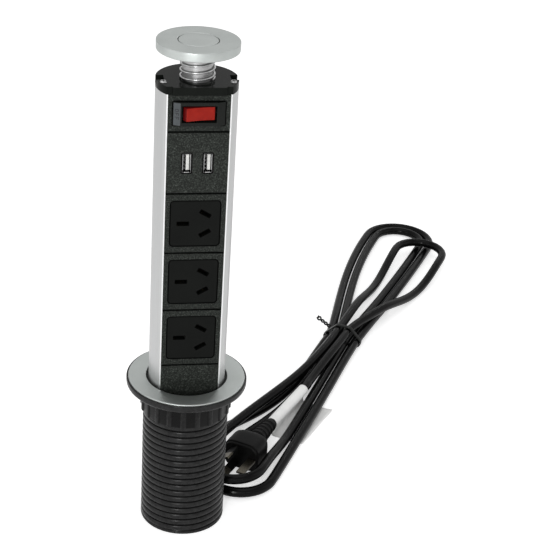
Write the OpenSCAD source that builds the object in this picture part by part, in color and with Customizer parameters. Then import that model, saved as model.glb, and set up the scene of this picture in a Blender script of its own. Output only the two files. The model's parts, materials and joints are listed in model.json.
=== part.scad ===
// Pop-up desk socket: a threaded desk sleeve with a sliding tower of switch, charger and mains modules.
// Millimetres. Origin at the centre of the sleeve's lower rim, +Z up, the modules face -Y.

/* [Desk sleeve] */
// Height from the lower rim to the top of the trim ring
sleeve_h = 114; // [108:1:140]
// Wall from the bore to the crest of the thread
sleeve_wall = 2.2; // [2:0.1:4]
// Pitch of the thread
thread_pitch = 4.9; // [4:0.1:7]
// Width of the groove between two thread ridges
groove_w = 1.3; // [0.8:0.1:2]
// Depth of the thread groove
groove_d = 1.2; // [0.6:0.1:1.3]
// Diameter of the silver trim ring
trim_od = 80; // [74:1:90]
// How far the black flange shows past the trim ring
flange_lip = 1.3; // [0.8:0.1:3]
// Thickness of the flange
flange_t = 5.4; // [4:0.1:8]
// Radius of the flange's lower edge
flange_edge = 2.4; // [1:0.1:3]
// How far the trim ring stands above the flange
trim_proud = 0.9; // [0.5:0.1:1.5]
// Depth of the trim ring's seat in the flange
trim_seat = 0.8; // [0.4:0.1:1.2]
// Width of the cable notch in the lower rim
notch_w = 10; // [9:0.5:14]

/* [Lock nut] */
// Diameter over the grip ridges
nut_od = 62.8; // [62.6:0.1:70]
// Height of the nut
nut_h = 16; // [8:0.5:20]
// Number of grip flutes
flutes = 20; // [14:1:22]
// Radius of one grip flute
flute_r = 9; // [6:0.5:9]
// Depth of one grip flute
flute_d = 0.8; // [0.4:0.1:0.8]
// Thickness of the clamp washer
washer_t = 2; // [1:0.1:4]
// How far the clamp washer stands out past the nut
washer_lip = 1.3; // [0.5:0.1:3]

/* [Tower] */
// Diameter of the tower
tower_od = 52.3; // [51.5:0.1:53]
// Wall of the tower extrusion
tower_wall = 1.8; // [1.4:0.1:2.2]
// Depth of the tower's foot below the trim ring's top
foot_drop = 30; // [20:1:36]
// Distance of the flat front panel from the axis
panel_y = 16.1; // [15.6:0.1:16.6]
// Width of the front panel
panel_w = 39; // [38.4:0.1:39.4]
// Thickness of the front panel
panel_t = 3.6; // [3:0.1:3.8]
// Height of a socket or charger module
module_h = 42.15; // [40:0.05:44]
// Height of the switch module
switch_h = 24.9; // [23:0.1:28]
// Height of the blank module under the sockets
blank_h = 47.1; // [46:0.1:50]
// Gap between two modules
module_gap = 0.5; // [0.3:0.1:1]
// Bevel on a module's upper and lower edge
module_bevel = 0.6; // [0.3:0.1:1]
// Thickness of the top end cap
end_cap_t = 5.1; // [4:0.1:7]
// Thickness of the bottom end cap
foot_cap_t = 4; // [3:0.1:6]
// Width of the tongue at the front of the end cap
tongue_w = 34; // [28:0.5:38]
// How far the tongue stands out from the panel
tongue_proud = 1.9; // [0.8:0.1:3]

/* [Pull cap] */
// Diameter of the pull cap
cap_od = 52.6; // [44:0.1:53]
// Thickness of the pull cap
cap_t = 5.95; // [4.4:0.05:8]
// Finger gap between the pull cap and the end cap
cap_gap = 18.7; // [18:0.05:26]
// Diameter of the stem
stem_od = 19.5; // [19:0.1:19.8]
// Wall of the stem
stem_wall = 2.65; // [2:0.05:2.7]
// Outside diameter of the cap spring
spring_od = 22.6; // [22.5:0.1:25]
// Wire of the cap spring
spring_wire = 1.2; // [0.9:0.1:1.3]
// Turns of the cap spring
spring_turns = 4; // [3:1:5]
// Diameter of the release button
button_od = 25.8; // [20:0.1:30]
// Thickness of the release button
button_t = 2; // [1.6:0.1:2.4]
// Press travel of the release button
button_travel = 1.5; // [1:0.1:1.8]

/* [Switch] */
// Width of the switch bezel
bezel_w = 32.5; // [31:0.1:35]
// Height of the switch bezel
bezel_h = 15.5; // [15:0.1:18]
// How far the bezel stands out from the panel
bezel_proud = 2.2; // [1.6:0.1:3]
// Length of the sloped end of the bezel
bezel_end = 4.6; // [3:0.1:5]
// Width of the rocker window
window_w = 21.9; // [21.6:0.1:22.2]
// Height of the rocker
rocker_h = 10.5; // [9:0.1:11]
// Tilt of the rocker to either side
rocker_tilt = 10; // [6:1:10]

/* [Charger ports] */
// Width of a port's shell
port_w = 5.7; // [5.5:0.1:6]
// Height of a port's shell
port_h = 13.1; // [12.6:0.1:13.6]
// Distance between the two ports
port_pitch = 13.5; // [10:0.1:20]
// Sheet of the shell
port_wall = 0.35; // [0.25:0.05:0.5]

/* [Mains sockets] */
// Width of a socket insert
insert_w = 32.6; // [28:0.1:33]
// Height of a socket insert
insert_h = 32.3; // [28:0.1:33]
// Corner radius of a socket insert
insert_r = 2.5; // [1:0.1:4]
// Gap round a socket insert
insert_gap = 0.3; // [0.2:0.05:0.5]
// Distance between the two slanted slots
pin_pitch = 13.7; // [13.7:0.1:14]
// Distance of the earth slot to the left of the middle
earth_x = 7.9; // [7.5:0.1:8.5]
// Distance of the slanted slots to the right of the middle
live_x = 6.4; // [6:0.1:7]
// Length of a slot
slot_l = 7.4; // [6.6:0.1:7.8]
// Width of a slot
slot_w = 2.4; // [1.8:0.1:2.6]
// Slant of the two live slots
slot_tilt = 30; // [25:1:35]

/* [Cord] */
// Diameter of the mains cord
cord_d = 7.5; // [6.8:0.1:7.7]
// Width of the plug body
plug_w = 28; // [26:0.5:28]
// Length of the plug body
plug_l = 22; // [20:1:23]

/* [Fits] */
// Gap where one piece slides in another
slide_gap = 0.3; // [0.2:0.05:0.35]
// Gap where one piece sits in another
seat_gap = 0.1; // [0.05:0.05:0.15]
// Radial play of the rocker's pivots
pivot_gap = 0.05; // [0.02:0.01:0.1]

/* [Hidden] */
$fn = 96;
eps = 0.01;
touch = 0.05;

// Radii outward from the axis
tower_r = tower_od / 2;
tower_bore = tower_r - tower_wall;
bush_bore = tower_r + slide_gap;
bush_wall = 0.75;
sleeve_bore = bush_bore + bush_wall + seat_gap;
thread_r = sleeve_bore + sleeve_wall;
collar_r = sleeve_bore + 1.4;
trim_r = trim_od / 2;
trim_bore = sleeve_bore + 0.5;
flange_r = trim_r + flange_lip;
nut_bore = thread_r + slide_gap;
stop_lip_r = sleeve_bore - slide_gap;
stem_r = stem_od / 2;
clip_r = stem_r + 1.55;
clip_t = 1.2;
clip_groove = 0.8;

// Heights of the sleeve and its nut
z_flange_top = sleeve_h - trim_proud;
z_flange = z_flange_top - flange_t;
z_trim = z_flange_top - trim_seat;
collar_t = 2;
z_washer = z_flange - slide_gap - washer_t;
z_nut = z_washer - slide_gap - nut_h;
groove_n = floor((z_flange - thread_pitch) / thread_pitch);

// Heights of the tower, from the foot up
z_foot = sleeve_h - foot_drop;
z_blank = z_foot + blank_h;
z_socket = z_blank + 3 * module_h;
z_usb = z_socket + module_h;
z_top = z_usb + switch_h;
z_cap = z_top + end_cap_t;
spigot_h = 3.3;
z_switch = z_top - switch_h / 2;
z_port = z_usb - module_h / 2;
function socket_z(i) = z_socket - (i - 0.5) * module_h;

// Depths of the tower, from the front back
lip_y = panel_y + 0.3;
ledge_y = panel_y - panel_t - seat_gap;
ledge_t = 1.2;
ledge_x = panel_w / 2 - 1.1;
spigot_y = ledge_y - ledge_t - slide_gap;
flange_back = ledge_y - 1.5;
insert_back = 6;
contact_front = insert_back - slide_gap;
strip_t = 1;
carrier_y = 1.3;
carrier_t = 3;
screw_xy = [21.9, -7.8];
rear_screw_y = 22;
screw_r = 1.3;
screw_wall = 1.3;
screw_play = 0.2;
screw_bite = 8;
terminal_x = 12.6;

// Heights of the pull cap, with the stem's guided end below the end cap
z_disc = z_cap + cap_gap;
z_disc_top = z_disc + cap_t;
button_pocket = button_t + button_travel + 0.4;
boss_r = stem_r - stem_wall - seat_gap;
spring_pocket_r = 4.6;
boss_drop = 8;
rod_r = 2;
z_clip = z_top - spigot_h - slide_gap - clip_t;
z_stem = z_clip - 3.5;

// Mains cord: the route from the gland to the hank, then the hank's own frame
cord_r = cord_d / 2;
gland_l = 24;
gland_neck_r = 5.9;
gland_collar_r = 8.2;
gland_boot_r = 7.6;
gland_top = 4.4;
z_gland = z_foot - foot_cap_t - gland_l;
floor_z = cord_r + 0.1;
layer_z = floor_z + cord_d + 0.6;
tie_at = [162, 227];
hank_angle = 61;
waist_step = 8.1;
tie_lift = 1.7;
label_lift = 0.8;
near_u = 222;
far_u = 212;
short_u = 180;
lead_u = 203;
lead_v = -48;
boot_u = 161.5;
boot_l = 31;
plug_v = -6.2;
plug_slant = 5.8;
label_u = 102;

function place(u, v, z) = [
  tie_at[0] + u * cos(hank_angle) + v * sin(hank_angle),
  tie_at[1] + u * sin(hank_angle) - v * cos(hank_angle), z];

lead_route = [
  [0, 0, z_gland], [0, 0, 47], [0, 0, 38], [0, 1.7, 27.6], [0, 6.5, 18.1], [0, 14, 10.6], [0, 23.5, 5.6],
  [0, 34, floor_z], [1.2, 42.3, floor_z], [4.6, 49.9, floor_z], [9.9, 56.3, floor_z], [14.5, 61, floor_z],
  place(-lead_u - cord_d, lead_v, floor_z), place(-lead_u, lead_v, floor_z)];

// Wires: each leaves the gland, one on either side climbs to the switch, the third ends at the earth strip
wire_r = 1.4;
wire_x = 15;
wire_y = 13;
wire_start = z_foot + gland_top + seat_gap;
wire_lead = 10;
wire_climb = 56;
wire_free = z_foot + wire_lead;
wire_side = wire_free + wire_climb;
wire_turn = z_usb - wire_x;
strip_margin = 6;
wire_end = z_blank + strip_margin - slide_gap;
function side_route(s) = [
  [0.2 * wire_x * s, 1, wire_start], [0.2 * wire_x * s, 1, wire_free],
  [wire_x / 3 * s, 0.4 * wire_y, wire_free + wire_climb / 4],
  [0.8 * wire_x * s, 0.9 * wire_y, wire_side - wire_climb * 0.4],
  [wire_x * s, wire_y, wire_side], [wire_x * s, wire_y, wire_turn], [wire_x * s, 0.6 * wire_y, z_usb - 3],
  [0.9 * wire_x * s, -2, z_switch - 8], [terminal_x * s, -5, z_switch - 4]];
earth_y = wire_r - carrier_y + slide_gap;
earth_route = [
  [0, -3, wire_start], [0, -3, wire_free],
  [-3, -2.5, wire_free + wire_lead], [-6.5, -1, wire_free + 2 * wire_lead],
  [-earth_x, -earth_y, wire_free + 3 * wire_lead], [-earth_x, -earth_y, wire_end]];

// A strand of the hank swings and rises from its place at the tie to its place at the fold on either side.
// Near end: [side, height on the way, height at the fold, length of the swing, lateness of the swing].
// Tie: [side, height]. Far end: [side, height, length of the swing, dip on the way].
function ease(x) = let (c = min(1, max(0, x))) c * c * (3 - 2 * c);
function mix(a, b, t) = a + (b - a) * t;
rise_from = 30;
rise_to = 90;
climb_from = 155;
far_swing = 0.7;
dip_from = 0.28;
function risen(d) = ease((d - rise_from) / (rise_to - rise_from));
function near_point(s, d) = let (n = s[0], t = s[1])
  place(-d, mix(t[0], n[0], ease(pow(d / n[3], n[4]))),
    mix(mix(t[1], n[1], risen(d)), n[2], ease((d - climb_from) / (near_u - climb_from))));
function dipped(s, t) = s[2][3] * pow(sin(180 * max(0, t - dip_from) / (1 - dip_from)), 2);
function far_point(s, d) = let (t = s[1], f = s[2])
  place(d, mix(t[0], f[0], ease(pow(d / f[2], far_swing))), mix(t[1], f[1], risen(d)) - dipped(s, d / f[2]));
function from_near(s, l) = concat([for (k = [6:-1:1]) near_point(s, l * k / 6)], [near_point(s, 0)],
  [for (k = [1:6]) far_point(s, s[2][2] * k / 6)]);
function from_far(s, l) = let (p = from_near(s, l)) [for (k = [len(p) - 1:-1:0]) p[k]];
function half_turn(v, u, z, dir) = let (r = (v[1] - v[0]) / 2)
  [for (a = [30:30:150]) place(dir * (u + abs(r) * sin(a)), v[0] + r - r * cos(a), z)];

tie_low = floor_z + tie_lift;
tie_high = layer_z + tie_lift;
rest_z = floor_z + label_lift;
inner = waist_step / 2;
outer = inner + waist_step;
top_dip = layer_z - floor_z;
far_1 = [-42, 20];
far_2 = [-33.6, 11.6];
far_3 = [-4, 41];
near_1 = [17, -34.4];
near_2 = [8.6, -38];
plug_side = plug_v + (boot_u - label_u) * tan(plug_slant);
out_1 = [[lead_v, floor_z, floor_z, lead_u - cord_d, 2.5], [-outer, tie_low], [far_1[0], floor_z, far_u, 0]];
back_1 = [[near_1[0], rest_z, floor_z, near_u, 0.8], [outer, tie_low], [far_1[1], floor_z, far_u, 0]];
out_2 = [[near_1[1], floor_z, floor_z, near_u, 2.2], [-inner, tie_low], [far_2[0], floor_z, far_u, 0]];
back_2 = [[near_2[0], rest_z, layer_z, near_u, 0.8], [inner, tie_low], [far_2[1], floor_z, far_u, 0]];
out_3 = [[near_2[1], layer_z, layer_z, near_u, 1.2], [-inner, tie_high],
  [far_3[0], layer_z, short_u, top_dip]];
back_3 = [[plug_side, layer_z, layer_z, label_u, 1], [inner, tie_high],
  [far_3[1], layer_z, short_u, top_dip]];
hank_path = concat(
  [place(-lead_u, lead_v, floor_z)], from_near(out_1, lead_u - cord_d),
  half_turn(far_1, far_u, floor_z, 1), from_far(back_1, near_u),
  half_turn(near_1, near_u, floor_z, -1), from_near(out_2, near_u),
  half_turn(far_2, far_u, floor_z, 1), from_far(back_2, near_u),
  half_turn(near_2, near_u, layer_z, -1), from_near(out_3, near_u),
  half_turn(far_3, short_u, layer_z, 1), from_far(back_3, label_u), [place(-boot_u, plug_v, layer_z)]);

// Cap spring and button spring as helices
spring_r = (spring_od - spring_wire) / 2;
function helix(r, z0, z1, turns, per) =
  [for (k = [0:turns * per]) let (a = 360 * k / per, t = k / (turns * per))
    [r * cos(a), r * sin(a), z0 + (z1 - z0) * t]];
spring_inset = spring_wire / 2 + touch;
cap_spring_path = helix(spring_r, z_cap + spring_inset, z_disc - spring_inset, spring_turns, 24);
button_spring_wire = 0.7;
z_spring_seat = z_disc - boss_drop + 1;
button_spring_r = 3.3;
button_spring_inset = button_spring_wire / 2 + touch;
button_spring_path = helix(button_spring_r, z_spring_seat + button_spring_inset,
  z_disc_top - button_t - button_spring_inset, 5, 12);

// Sweeps and their measure
function unit(v) = v / norm(v);
function tangent(p, i) = let (n = len(p) - 1)
  i == 0 ? unit(p[1] - p[0]) : i == n ? unit(p[n] - p[n - 1])
    : unit(unit(p[i + 1] - p[i]) + unit(p[i] - p[i - 1]));
function refine(p, n) = [for (i = [0:len(p) - 2]) for (k = [0:n - 1]) p[i] + (p[i + 1] - p[i]) * k / n];
function step(p, i) = i < len(p) - 1 ? norm(p[i + 1] - p[i]) : 0;
function arc_lengths(p) = [for (i = 0, s = 0; i < len(p); s = s + step(p, i), i = i + 1) s];
function self_gap(p, d, apart) = let (q = refine(p, 3), s = arc_lengths(q))
  min([for (i = [0:len(q) - 1]) for (j = [i + 1:len(q) - 1]) if (s[j] - s[i] > apart) norm(q[i] - q[j])]) - d;

module tube(path, r, sides, ref) {
  n = len(path);
  points = [for (i = [0:n - 1]) let (t = tangent(path, i), s = unit(cross(t, ref)), u = cross(s, t))
    for (k = [0:sides - 1]) let (a = 360 * (k + 0.5) / sides) path[i] + r * (cos(a) * s + sin(a) * u)];
  walls = [for (i = [0:n - 2]) for (k = [0:sides - 1])
    let (a = i * sides + k, b = i * sides + (k + 1) % sides)
    for (f = [[a, b, b + sides], [a, b + sides, a + sides]]) f];
  last = (n - 1) * sides;
  ends = [for (k = [1:sides - 2]) for (f = [[0, k + 1, k], [last, last + k, last + k + 1]]) f];
  polyhedron(points = points, faces = concat(walls, ends));
}

// Shared shapes
module ring(r_out, r_in, z, h) {
  translate([0, 0, z]) difference() {
    cylinder(r = r_out, h = h);
    translate([0, 0, -eps]) cylinder(r = r_in, h = h + 2 * eps);
  }
}

module rounded(w, h, r) {
  square([w - 2 * r, h], center = true);
  square([w, h - 2 * r], center = true);
  for (x = [-1, 1], y = [-1, 1]) translate([x * (w / 2 - r), y * (h / 2 - r)]) circle(r, $fn = 32);
}

// A rounded slab standing upright: its front at -front, its back at -back
module slab(w, h, r, front, back) {
  translate([0, -back, 0]) rotate([90, 0, 0]) linear_extrude(front - back) rounded(w, h, r);
}

module box(w, h, front, back) {
  translate([-w / 2, -front, -h / 2]) cube([w, front - back, h]);
}

// A module's front plate with bevelled upper and lower edges
module plate(h) {
  c = module_bevel;
  t = panel_t;
  rotate([90, 0, 90]) linear_extrude(panel_w, center = true) polygon([
    [-panel_y, h / 2 - c], [-panel_y + c, h / 2], [t - panel_y, h / 2],
    [t - panel_y, -h / 2], [-panel_y + c, -h / 2], [-panel_y, -h / 2 + c]]);
}

module at_screws() {
  for (x = [-1, 1]) translate([x * screw_xy[0], screw_xy[1], 0]) children();
  translate([0, rear_screw_y, 0]) children();
}

// Sleeve
module flange_profile() {
  translate([sleeve_bore, z_flange]) square([flange_r - flange_edge - sleeve_bore, flange_t]);
  translate([sleeve_bore, z_flange + flange_edge]) square([flange_r - sleeve_bore, flange_t - flange_edge]);
  translate([flange_r - flange_edge, z_flange + flange_edge]) circle(flange_edge, $fn = 48);
}

module threaded_sleeve() {
  notch_top = floor_z + cord_r + 2;
  color("#26282a") difference() {
    rotate_extrude() difference() {
      union() {
        translate([sleeve_bore, 0]) square([sleeve_wall, z_flange + 1]);
        flange_profile();
      }
      for (i = [0:groove_n - 1]) translate([thread_r - groove_d, (i + 0.6) * thread_pitch])
        square([groove_d + 1, groove_w]);
      translate([sleeve_bore - 1, z_trim - collar_t]) square([collar_r - sleeve_bore + 1, flange_t]);
      translate([sleeve_bore - 1, z_trim]) square([trim_r + seat_gap - sleeve_bore + 1, flange_t]);
    }
    translate([0, sleeve_bore - 4, notch_top - notch_w / 2]) {
      translate([-notch_w / 2, 0, -notch_top]) cube([notch_w, sleeve_wall + 8, notch_top]);
      rotate([-90, 0, 0]) cylinder(d = notch_w, h = sleeve_wall + 8, $fn = 32);
    }
  }
}

module trim_ring() {
  c = 0.4;
  color("#b4b8b6") rotate_extrude() polygon([
    [trim_bore, z_trim], [trim_r, z_trim], [trim_r, sleeve_h - c], [trim_r - c, sleeve_h],
    [trim_bore + c, sleeve_h], [trim_bore, sleeve_h - c]]);
}

module guide_bush() {
  color("#1c1c1e") {
    ring(bush_bore + bush_wall, bush_bore, z_foot + slide_gap, z_trim - z_foot - slide_gap - touch);
    ring(collar_r - seat_gap, bush_bore, z_trim - collar_t + touch, collar_t - 2 * touch);
  }
}

module clamp_washer() {
  color("#1b1c1d") ring(nut_od / 2 + washer_lip, nut_bore, z_washer, washer_t);
}

module lock_nut() {
  rim = 2;
  color("#232527") difference() {
    ring(nut_od / 2, nut_bore, z_nut, nut_h);
    for (k = [0:flutes - 1]) rotate(k * 360 / flutes)
      translate([nut_od / 2 + flute_r - flute_d, 0, z_nut - 1])
        cylinder(r = flute_r, h = nut_h - rim + 1, $fn = 64);
  }
}

// Tower
module tower_profile() {
  difference() {
    union() {
      difference() {
        circle(tower_r);
        circle(tower_bore);
      }
      intersection() {
        circle(tower_r);
        union() {
          for (x = [0, 1]) mirror([x, 0]) translate([ledge_x, -lip_y])
            square([tower_r - ledge_x, lip_y - ledge_y + ledge_t]);
          at_screws() circle(screw_r + screw_wall, $fn = 32);
        }
      }
    }
    translate([-tower_r, -tower_r - 1]) square([tower_od, tower_r + 1 - lip_y]);
    translate([-panel_w / 2 - seat_gap, -lip_y - 1]) square([panel_w + 2 * seat_gap, lip_y + 1 - ledge_y]);
    at_screws() circle(screw_r, $fn = 32);
  }
}

module tower_extrusion() {
  color("#c9cccb") translate([0, 0, z_foot]) linear_extrude(z_top - z_foot) tower_profile();
}

// Plug of an end cap that fits in the extrusion, behind the modules
module spigot(h) {
  linear_extrude(h) difference() {
    circle(tower_bore - slide_gap);
    translate([-tower_r, -tower_r]) square([tower_od, tower_r - spigot_y]);
    at_screws() circle(screw_r + screw_wall + slide_gap, $fn = 32);
  }
}

module top_end_cap() {
  edge_slot = [5.2, 8.4, 3.2];
  edge_slot_y = -4;
  edge = 1.5;
  color("#1d1e20") difference() {
    union() {
      translate([0, 0, z_top]) linear_extrude(end_cap_t) difference() {
        circle(tower_r);
        translate([-tower_r, -tower_r - 1]) square([tower_od, tower_r + 1 - panel_y]);
      }
      translate([0, -panel_y, z_top]) linear_extrude(end_cap_t)
        intersection() {
          rounded(tongue_w, 2 * tongue_proud, edge);
          translate([-tongue_w, -tongue_w]) square([2 * tongue_w, tongue_w + 1]);
        }
      translate([0, 0, z_top - spigot_h]) spigot(spigot_h);
    }
    translate([0, 0, z_top - spigot_h - 1]) cylinder(r = stem_r + pivot_gap, h = end_cap_t + spigot_h + 2);
    translate([0, 0, z_top - 1]) at_screws() cylinder(r = screw_r + screw_play, h = end_cap_t + 2, $fn = 32);
    for (x = [0, 1]) mirror([x, 0, 0])
      translate([tower_r - edge_slot[0], edge_slot_y, z_cap - edge_slot[2]])
        cube(edge_slot + [1, 0, 1]);
  }
}

module screws(z_head, dir, l) {
  head_r = 2.1;
  translate([0, 0, z_head]) at_screws() {
    difference() {
      mirror([0, 0, dir < 0 ? 1 : 0]) {
        cylinder(r1 = head_r, r2 = head_r - 0.5, h = 0.9, $fn = 32);
        translate([0, 0, -l]) cylinder(r = screw_r - touch, h = l, $fn = 32);
      }
      for (a = [0, 90]) rotate(a) translate([-1.1, -0.2, dir < 0 ? -1 : 0.5]) cube([2.2, 0.4, 0.5]);
    }
  }
}

module end_cap_screws() {
  color("silver") screws(z_cap, 1, end_cap_t + screw_bite);
}

module foot_end_cap() {
  z = z_foot - foot_cap_t;
  color("#1d1e20") difference() {
    union() {
      translate([0, 0, z]) cylinder(r = stop_lip_r, h = foot_cap_t);
      translate([0, 0, z_foot]) spigot(spigot_h);
    }
    translate([0, 0, z - 1]) cylinder(r = gland_neck_r + seat_gap, h = foot_cap_t + spigot_h + 2, $fn = 48);
    translate([0, 0, z_foot]) cylinder(r = gland_collar_r + 2 * seat_gap, h = spigot_h + 1, $fn = 48);
    translate([0, 0, z - 1]) at_screws() cylinder(r = screw_r + screw_play, h = foot_cap_t + 2, $fn = 32);
  }
}

module foot_cap_screws() {
  color("silver") screws(z_foot - foot_cap_t, -1, foot_cap_t + screw_bite);
}

// Rubber gland: a collar inside the foot cap, a neck through it and a tapered boot below
module cord_gland() {
  z = z_foot - foot_cap_t;
  color("#161617") rotate_extrude($fn = 48) polygon([
    [0, z_gland], [cord_r + 0.7, z_gland], [gland_boot_r, z - 2], [gland_boot_r, z - touch],
    [gland_neck_r, z - touch], [gland_neck_r, z_foot + touch], [gland_collar_r, z_foot + touch],
    [gland_collar_r, z_foot + gland_top / 2], [gland_collar_r - 1.7, z_foot + gland_top],
    [0, z_foot + gland_top]]);
}

// Pull cap
module pull_cap() {
  e = 0.6;
  r = cap_od / 2;
  pocket_r = button_od / 2 + seat_gap;
  color("#b9bcba") rotate_extrude() difference() {
    union() {
      translate([0, z_disc]) square([r - e, cap_t]);
      translate([0, z_disc + e]) square([r, cap_t - 2 * e]);
      for (z = [z_disc + e, z_disc_top - e]) translate([r - e, z]) circle(e, $fn = 32);
      translate([0, z_disc - boss_drop]) square([boss_r, boss_drop + 1]);
    }
    translate([-r, z_disc - boss_drop - 1]) square([r, cap_t + boss_drop + 2]);
    translate([0, z_disc_top - button_pocket]) square([pocket_r, button_pocket + 1]);
    translate([0, z_spring_seat]) square([spring_pocket_r, cap_t + boss_drop]);
    translate([0, z_disc - boss_drop - 1]) square([rod_r + pivot_gap, boss_drop + 2]);
  }
}

module cap_stem() {
  color("#d6d8d8") difference() {
    ring(stem_r, stem_r - stem_wall, z_stem, z_disc - z_stem);
    ring(stem_r + 1, stem_r - clip_groove, z_clip - seat_gap, clip_t + 2 * seat_gap);
  }
}

module stem_clip() {
  color("#8d9091") difference() {
    ring(clip_r, stem_r - clip_groove + seat_gap, z_clip, clip_t);
    translate([-3, 0, z_clip - 1]) cube([6, clip_r + 1, 4]);
  }
}

module cap_spring() {
  echo(cap_spring_self_gap = self_gap(cap_spring_path, spring_wire, 4 * spring_wire));
  color("#c4c7c7") tube(cap_spring_path, spring_wire / 2, 6, [0, 0, 1]);
}

module release_button() {
  c = 0.3;
  r = button_od / 2;
  color("#b9bcba") rotate_extrude() polygon([
    [0, z_disc_top - button_t], [r, z_disc_top - button_t], [r, z_disc_top - c], [r - c, z_disc_top],
    [0, z_disc_top]]);
}

// Push rod with a head that keeps the button in the cap
module button_rod() {
  z_head = z_disc - boss_drop - slide_gap;
  color("#8d9091") {
    translate([0, 0, z_head - 1]) cylinder(r = rod_r, h = z_disc_top - button_t - z_head + 1, $fn = 32);
    translate([0, 0, z_head - 1.4]) cylinder(r = 3.4, h = 1.4, $fn = 32);
  }
}

module button_spring() {
  echo(button_spring_self_gap = self_gap(button_spring_path, button_spring_wire, 4 * button_spring_wire));
  color("#8d9091") tube(button_spring_path, button_spring_wire / 2, 6, [0, 0, 1]);
}

// Switch
housing_w = window_w + 5;
housing_h = rocker_h + 2 * slide_gap + 2.4;
housing_back = 11.9;
bezel_y = panel_y + bezel_proud;
pivot_y = 14.2;
pivot_r = 0.8;
corner_x = window_w / 2 - 0.35;
corner_y = bezel_y - 1.3 - pivot_y;
function turned(p, a) = [p[0] * cos(a) - p[1] * sin(a), p[0] * sin(a) + p[1] * cos(a)];

module switch_frame() {
  color("#2b2c2e") translate([0, 0, z_switch]) difference() {
    plate(switch_h - module_gap);
    box(housing_w + 2 * slide_gap, housing_h + 2 * slide_gap, panel_y + 1, 0);
  }
}

module switch_housing() {
  low = 0.5;
  color("#1f2022") translate([0, 0, z_switch]) difference() {
    union() {
      linear_extrude(bezel_h, center = true) polygon([
        [-bezel_w / 2, -panel_y], [-bezel_w / 2, -panel_y - low], [-bezel_w / 2 + bezel_end, -bezel_y],
        [bezel_w / 2 - bezel_end, -bezel_y], [bezel_w / 2, -panel_y - low], [bezel_w / 2, -panel_y]]);
      box(housing_w, housing_h, panel_y + eps, housing_back);
    }
    box(window_w, rocker_h + 2 * slide_gap, bezel_y + 1, housing_back + 0.8);
    translate([0, -pivot_y, 0]) cylinder(r = pivot_r + pivot_gap, h = housing_h - 1, center = true, $fn = 32);
  }
}

module rocker() {
  front = turned([corner_x, -corner_y], -rocker_tilt);
  side = corner_x - 0.2;
  base = 2;
  color("#b52a1c") translate([0, -pivot_y, z_switch]) rotate(rocker_tilt) {
    linear_extrude(rocker_h, center = true) polygon([
      [-front[0], front[1]], [-side, -1.2], [-base, 0.8], [base, 0.8], [side, -1.2], [front[0], front[1]],
      [0, front[1] + 1]]);
    cylinder(r = pivot_r, h = housing_h - 1.4, center = true, $fn = 32);
  }
}

module switch_terminals() {
  color("#c7a24a") translate([0, 0, z_switch]) for (x = [-1, 1], z = [-1, 1])
    translate([x * terminal_x - 0.4, -housing_back, z * 3.4 - 2]) cube([0.8, 5.5, 4]);
}

// Charger
module at_ports() {
  for (x = [-1, 1]) translate([x * port_pitch / 2, 0, z_port]) children();
}
port_back = 2;
port_front = panel_y - 0.1;

module usb_frame() {
  color("#2b2c2e") difference() {
    translate([0, 0, z_port]) plate(module_h - module_gap);
    at_ports() slab(port_w + 2 * seat_gap, port_h + 2 * seat_gap, 0.6, panel_y + 1, 0);
  }
}

module usb_shells() {
  color("#c8cacb") at_ports() difference() {
    slab(port_w, port_h, 0.5, port_front, port_back);
    slab(port_w - 2 * port_wall, port_h - 2 * port_wall, 0.3, port_front + 1, port_back - 1);
  }
}

module usb_tongues() {
  gap = port_wall + seat_gap;
  color("#f0f0ec") at_ports() {
    slab(port_w - 2 * gap, port_h - 2 * gap, 0.2, port_back + 2.5, port_back);
    translate([0.6, 0, 0]) box(1.9, port_h - 2 * gap - 1, port_front - 0.8, port_back + 2);
  }
}

board_y = port_back - slide_gap;
board_t = 1.6;

module usb_board() {
  w = 2 * (tower_bore - 0.8);
  color("#2f6b3c") translate([0, 0, z_port]) box(w, module_h - 6, board_y, board_y - board_t);
}

module usb_transformer() {
  y = board_y - board_t - seat_gap;
  core_w = 18;
  core_h = 16;
  core_t = 12;
  coil_w = 13;
  coil_h = 19;
  color("#d7b13c") translate([0, 0, z_port]) {
    translate([0, 0, 5]) box(core_w, core_h, y, y - core_t);
    translate([0, 0, 5]) box(coil_w, coil_h, y - 2, y - core_t + 2);
    for (x = [-1, 1]) translate([x * 5, -y, -12]) rotate([-90, 0, 0]) cylinder(r = 3.8, h = 11, $fn = 32);
  }
}

// Mains sockets
module slots(front, back) {
  translate([-earth_x, 0, 0]) box(slot_l, slot_w, front, back);
  for (z = [-1, 1]) translate([live_x, 0, z * pin_pitch / 2]) rotate([0, z * slot_tilt, 0])
    box(slot_l, slot_w, front, back);
}

module socket_frame(i) {
  color("#2b2c2e") translate([0, 0, socket_z(i)]) difference() {
    plate(module_h - module_gap);
    slab(insert_w + 2 * insert_gap, insert_h + 2 * insert_gap, insert_r + insert_gap, panel_y + 1, 0);
  }
}

module socket_insert(i) {
  rim = 1.2;
  color("#19191b") translate([0, 0, socket_z(i)]) difference() {
    union() {
      slab(insert_w, insert_h, insert_r, panel_y - 0.2, ledge_y);
      slab(insert_w + 2 * rim, insert_h + 2 * rim, insert_r, ledge_y, flange_back);
      slab(insert_w - 3, insert_h - 3, insert_r, flange_back + eps, insert_back);
    }
    slots(panel_y + 1, 0);
  }
}

module socket_frame_1() { socket_frame(1); }
module socket_frame_2() { socket_frame(2); }
module socket_frame_3() { socket_frame(3); }
module socket_insert_1() { socket_insert(1); }
module socket_insert_2() { socket_insert(2); }
module socket_insert_3() { socket_insert(3); }

module contact_carrier() {
  reach = carrier_y + carrier_t;
  w = 2 * (sqrt(tower_bore * tower_bore - reach * reach) - slide_gap);
  color("#3a3b3d") translate([0, 0, socket_z(2)]) box(w, 3 * module_h - 4, -carrier_y, -reach);
}

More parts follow.
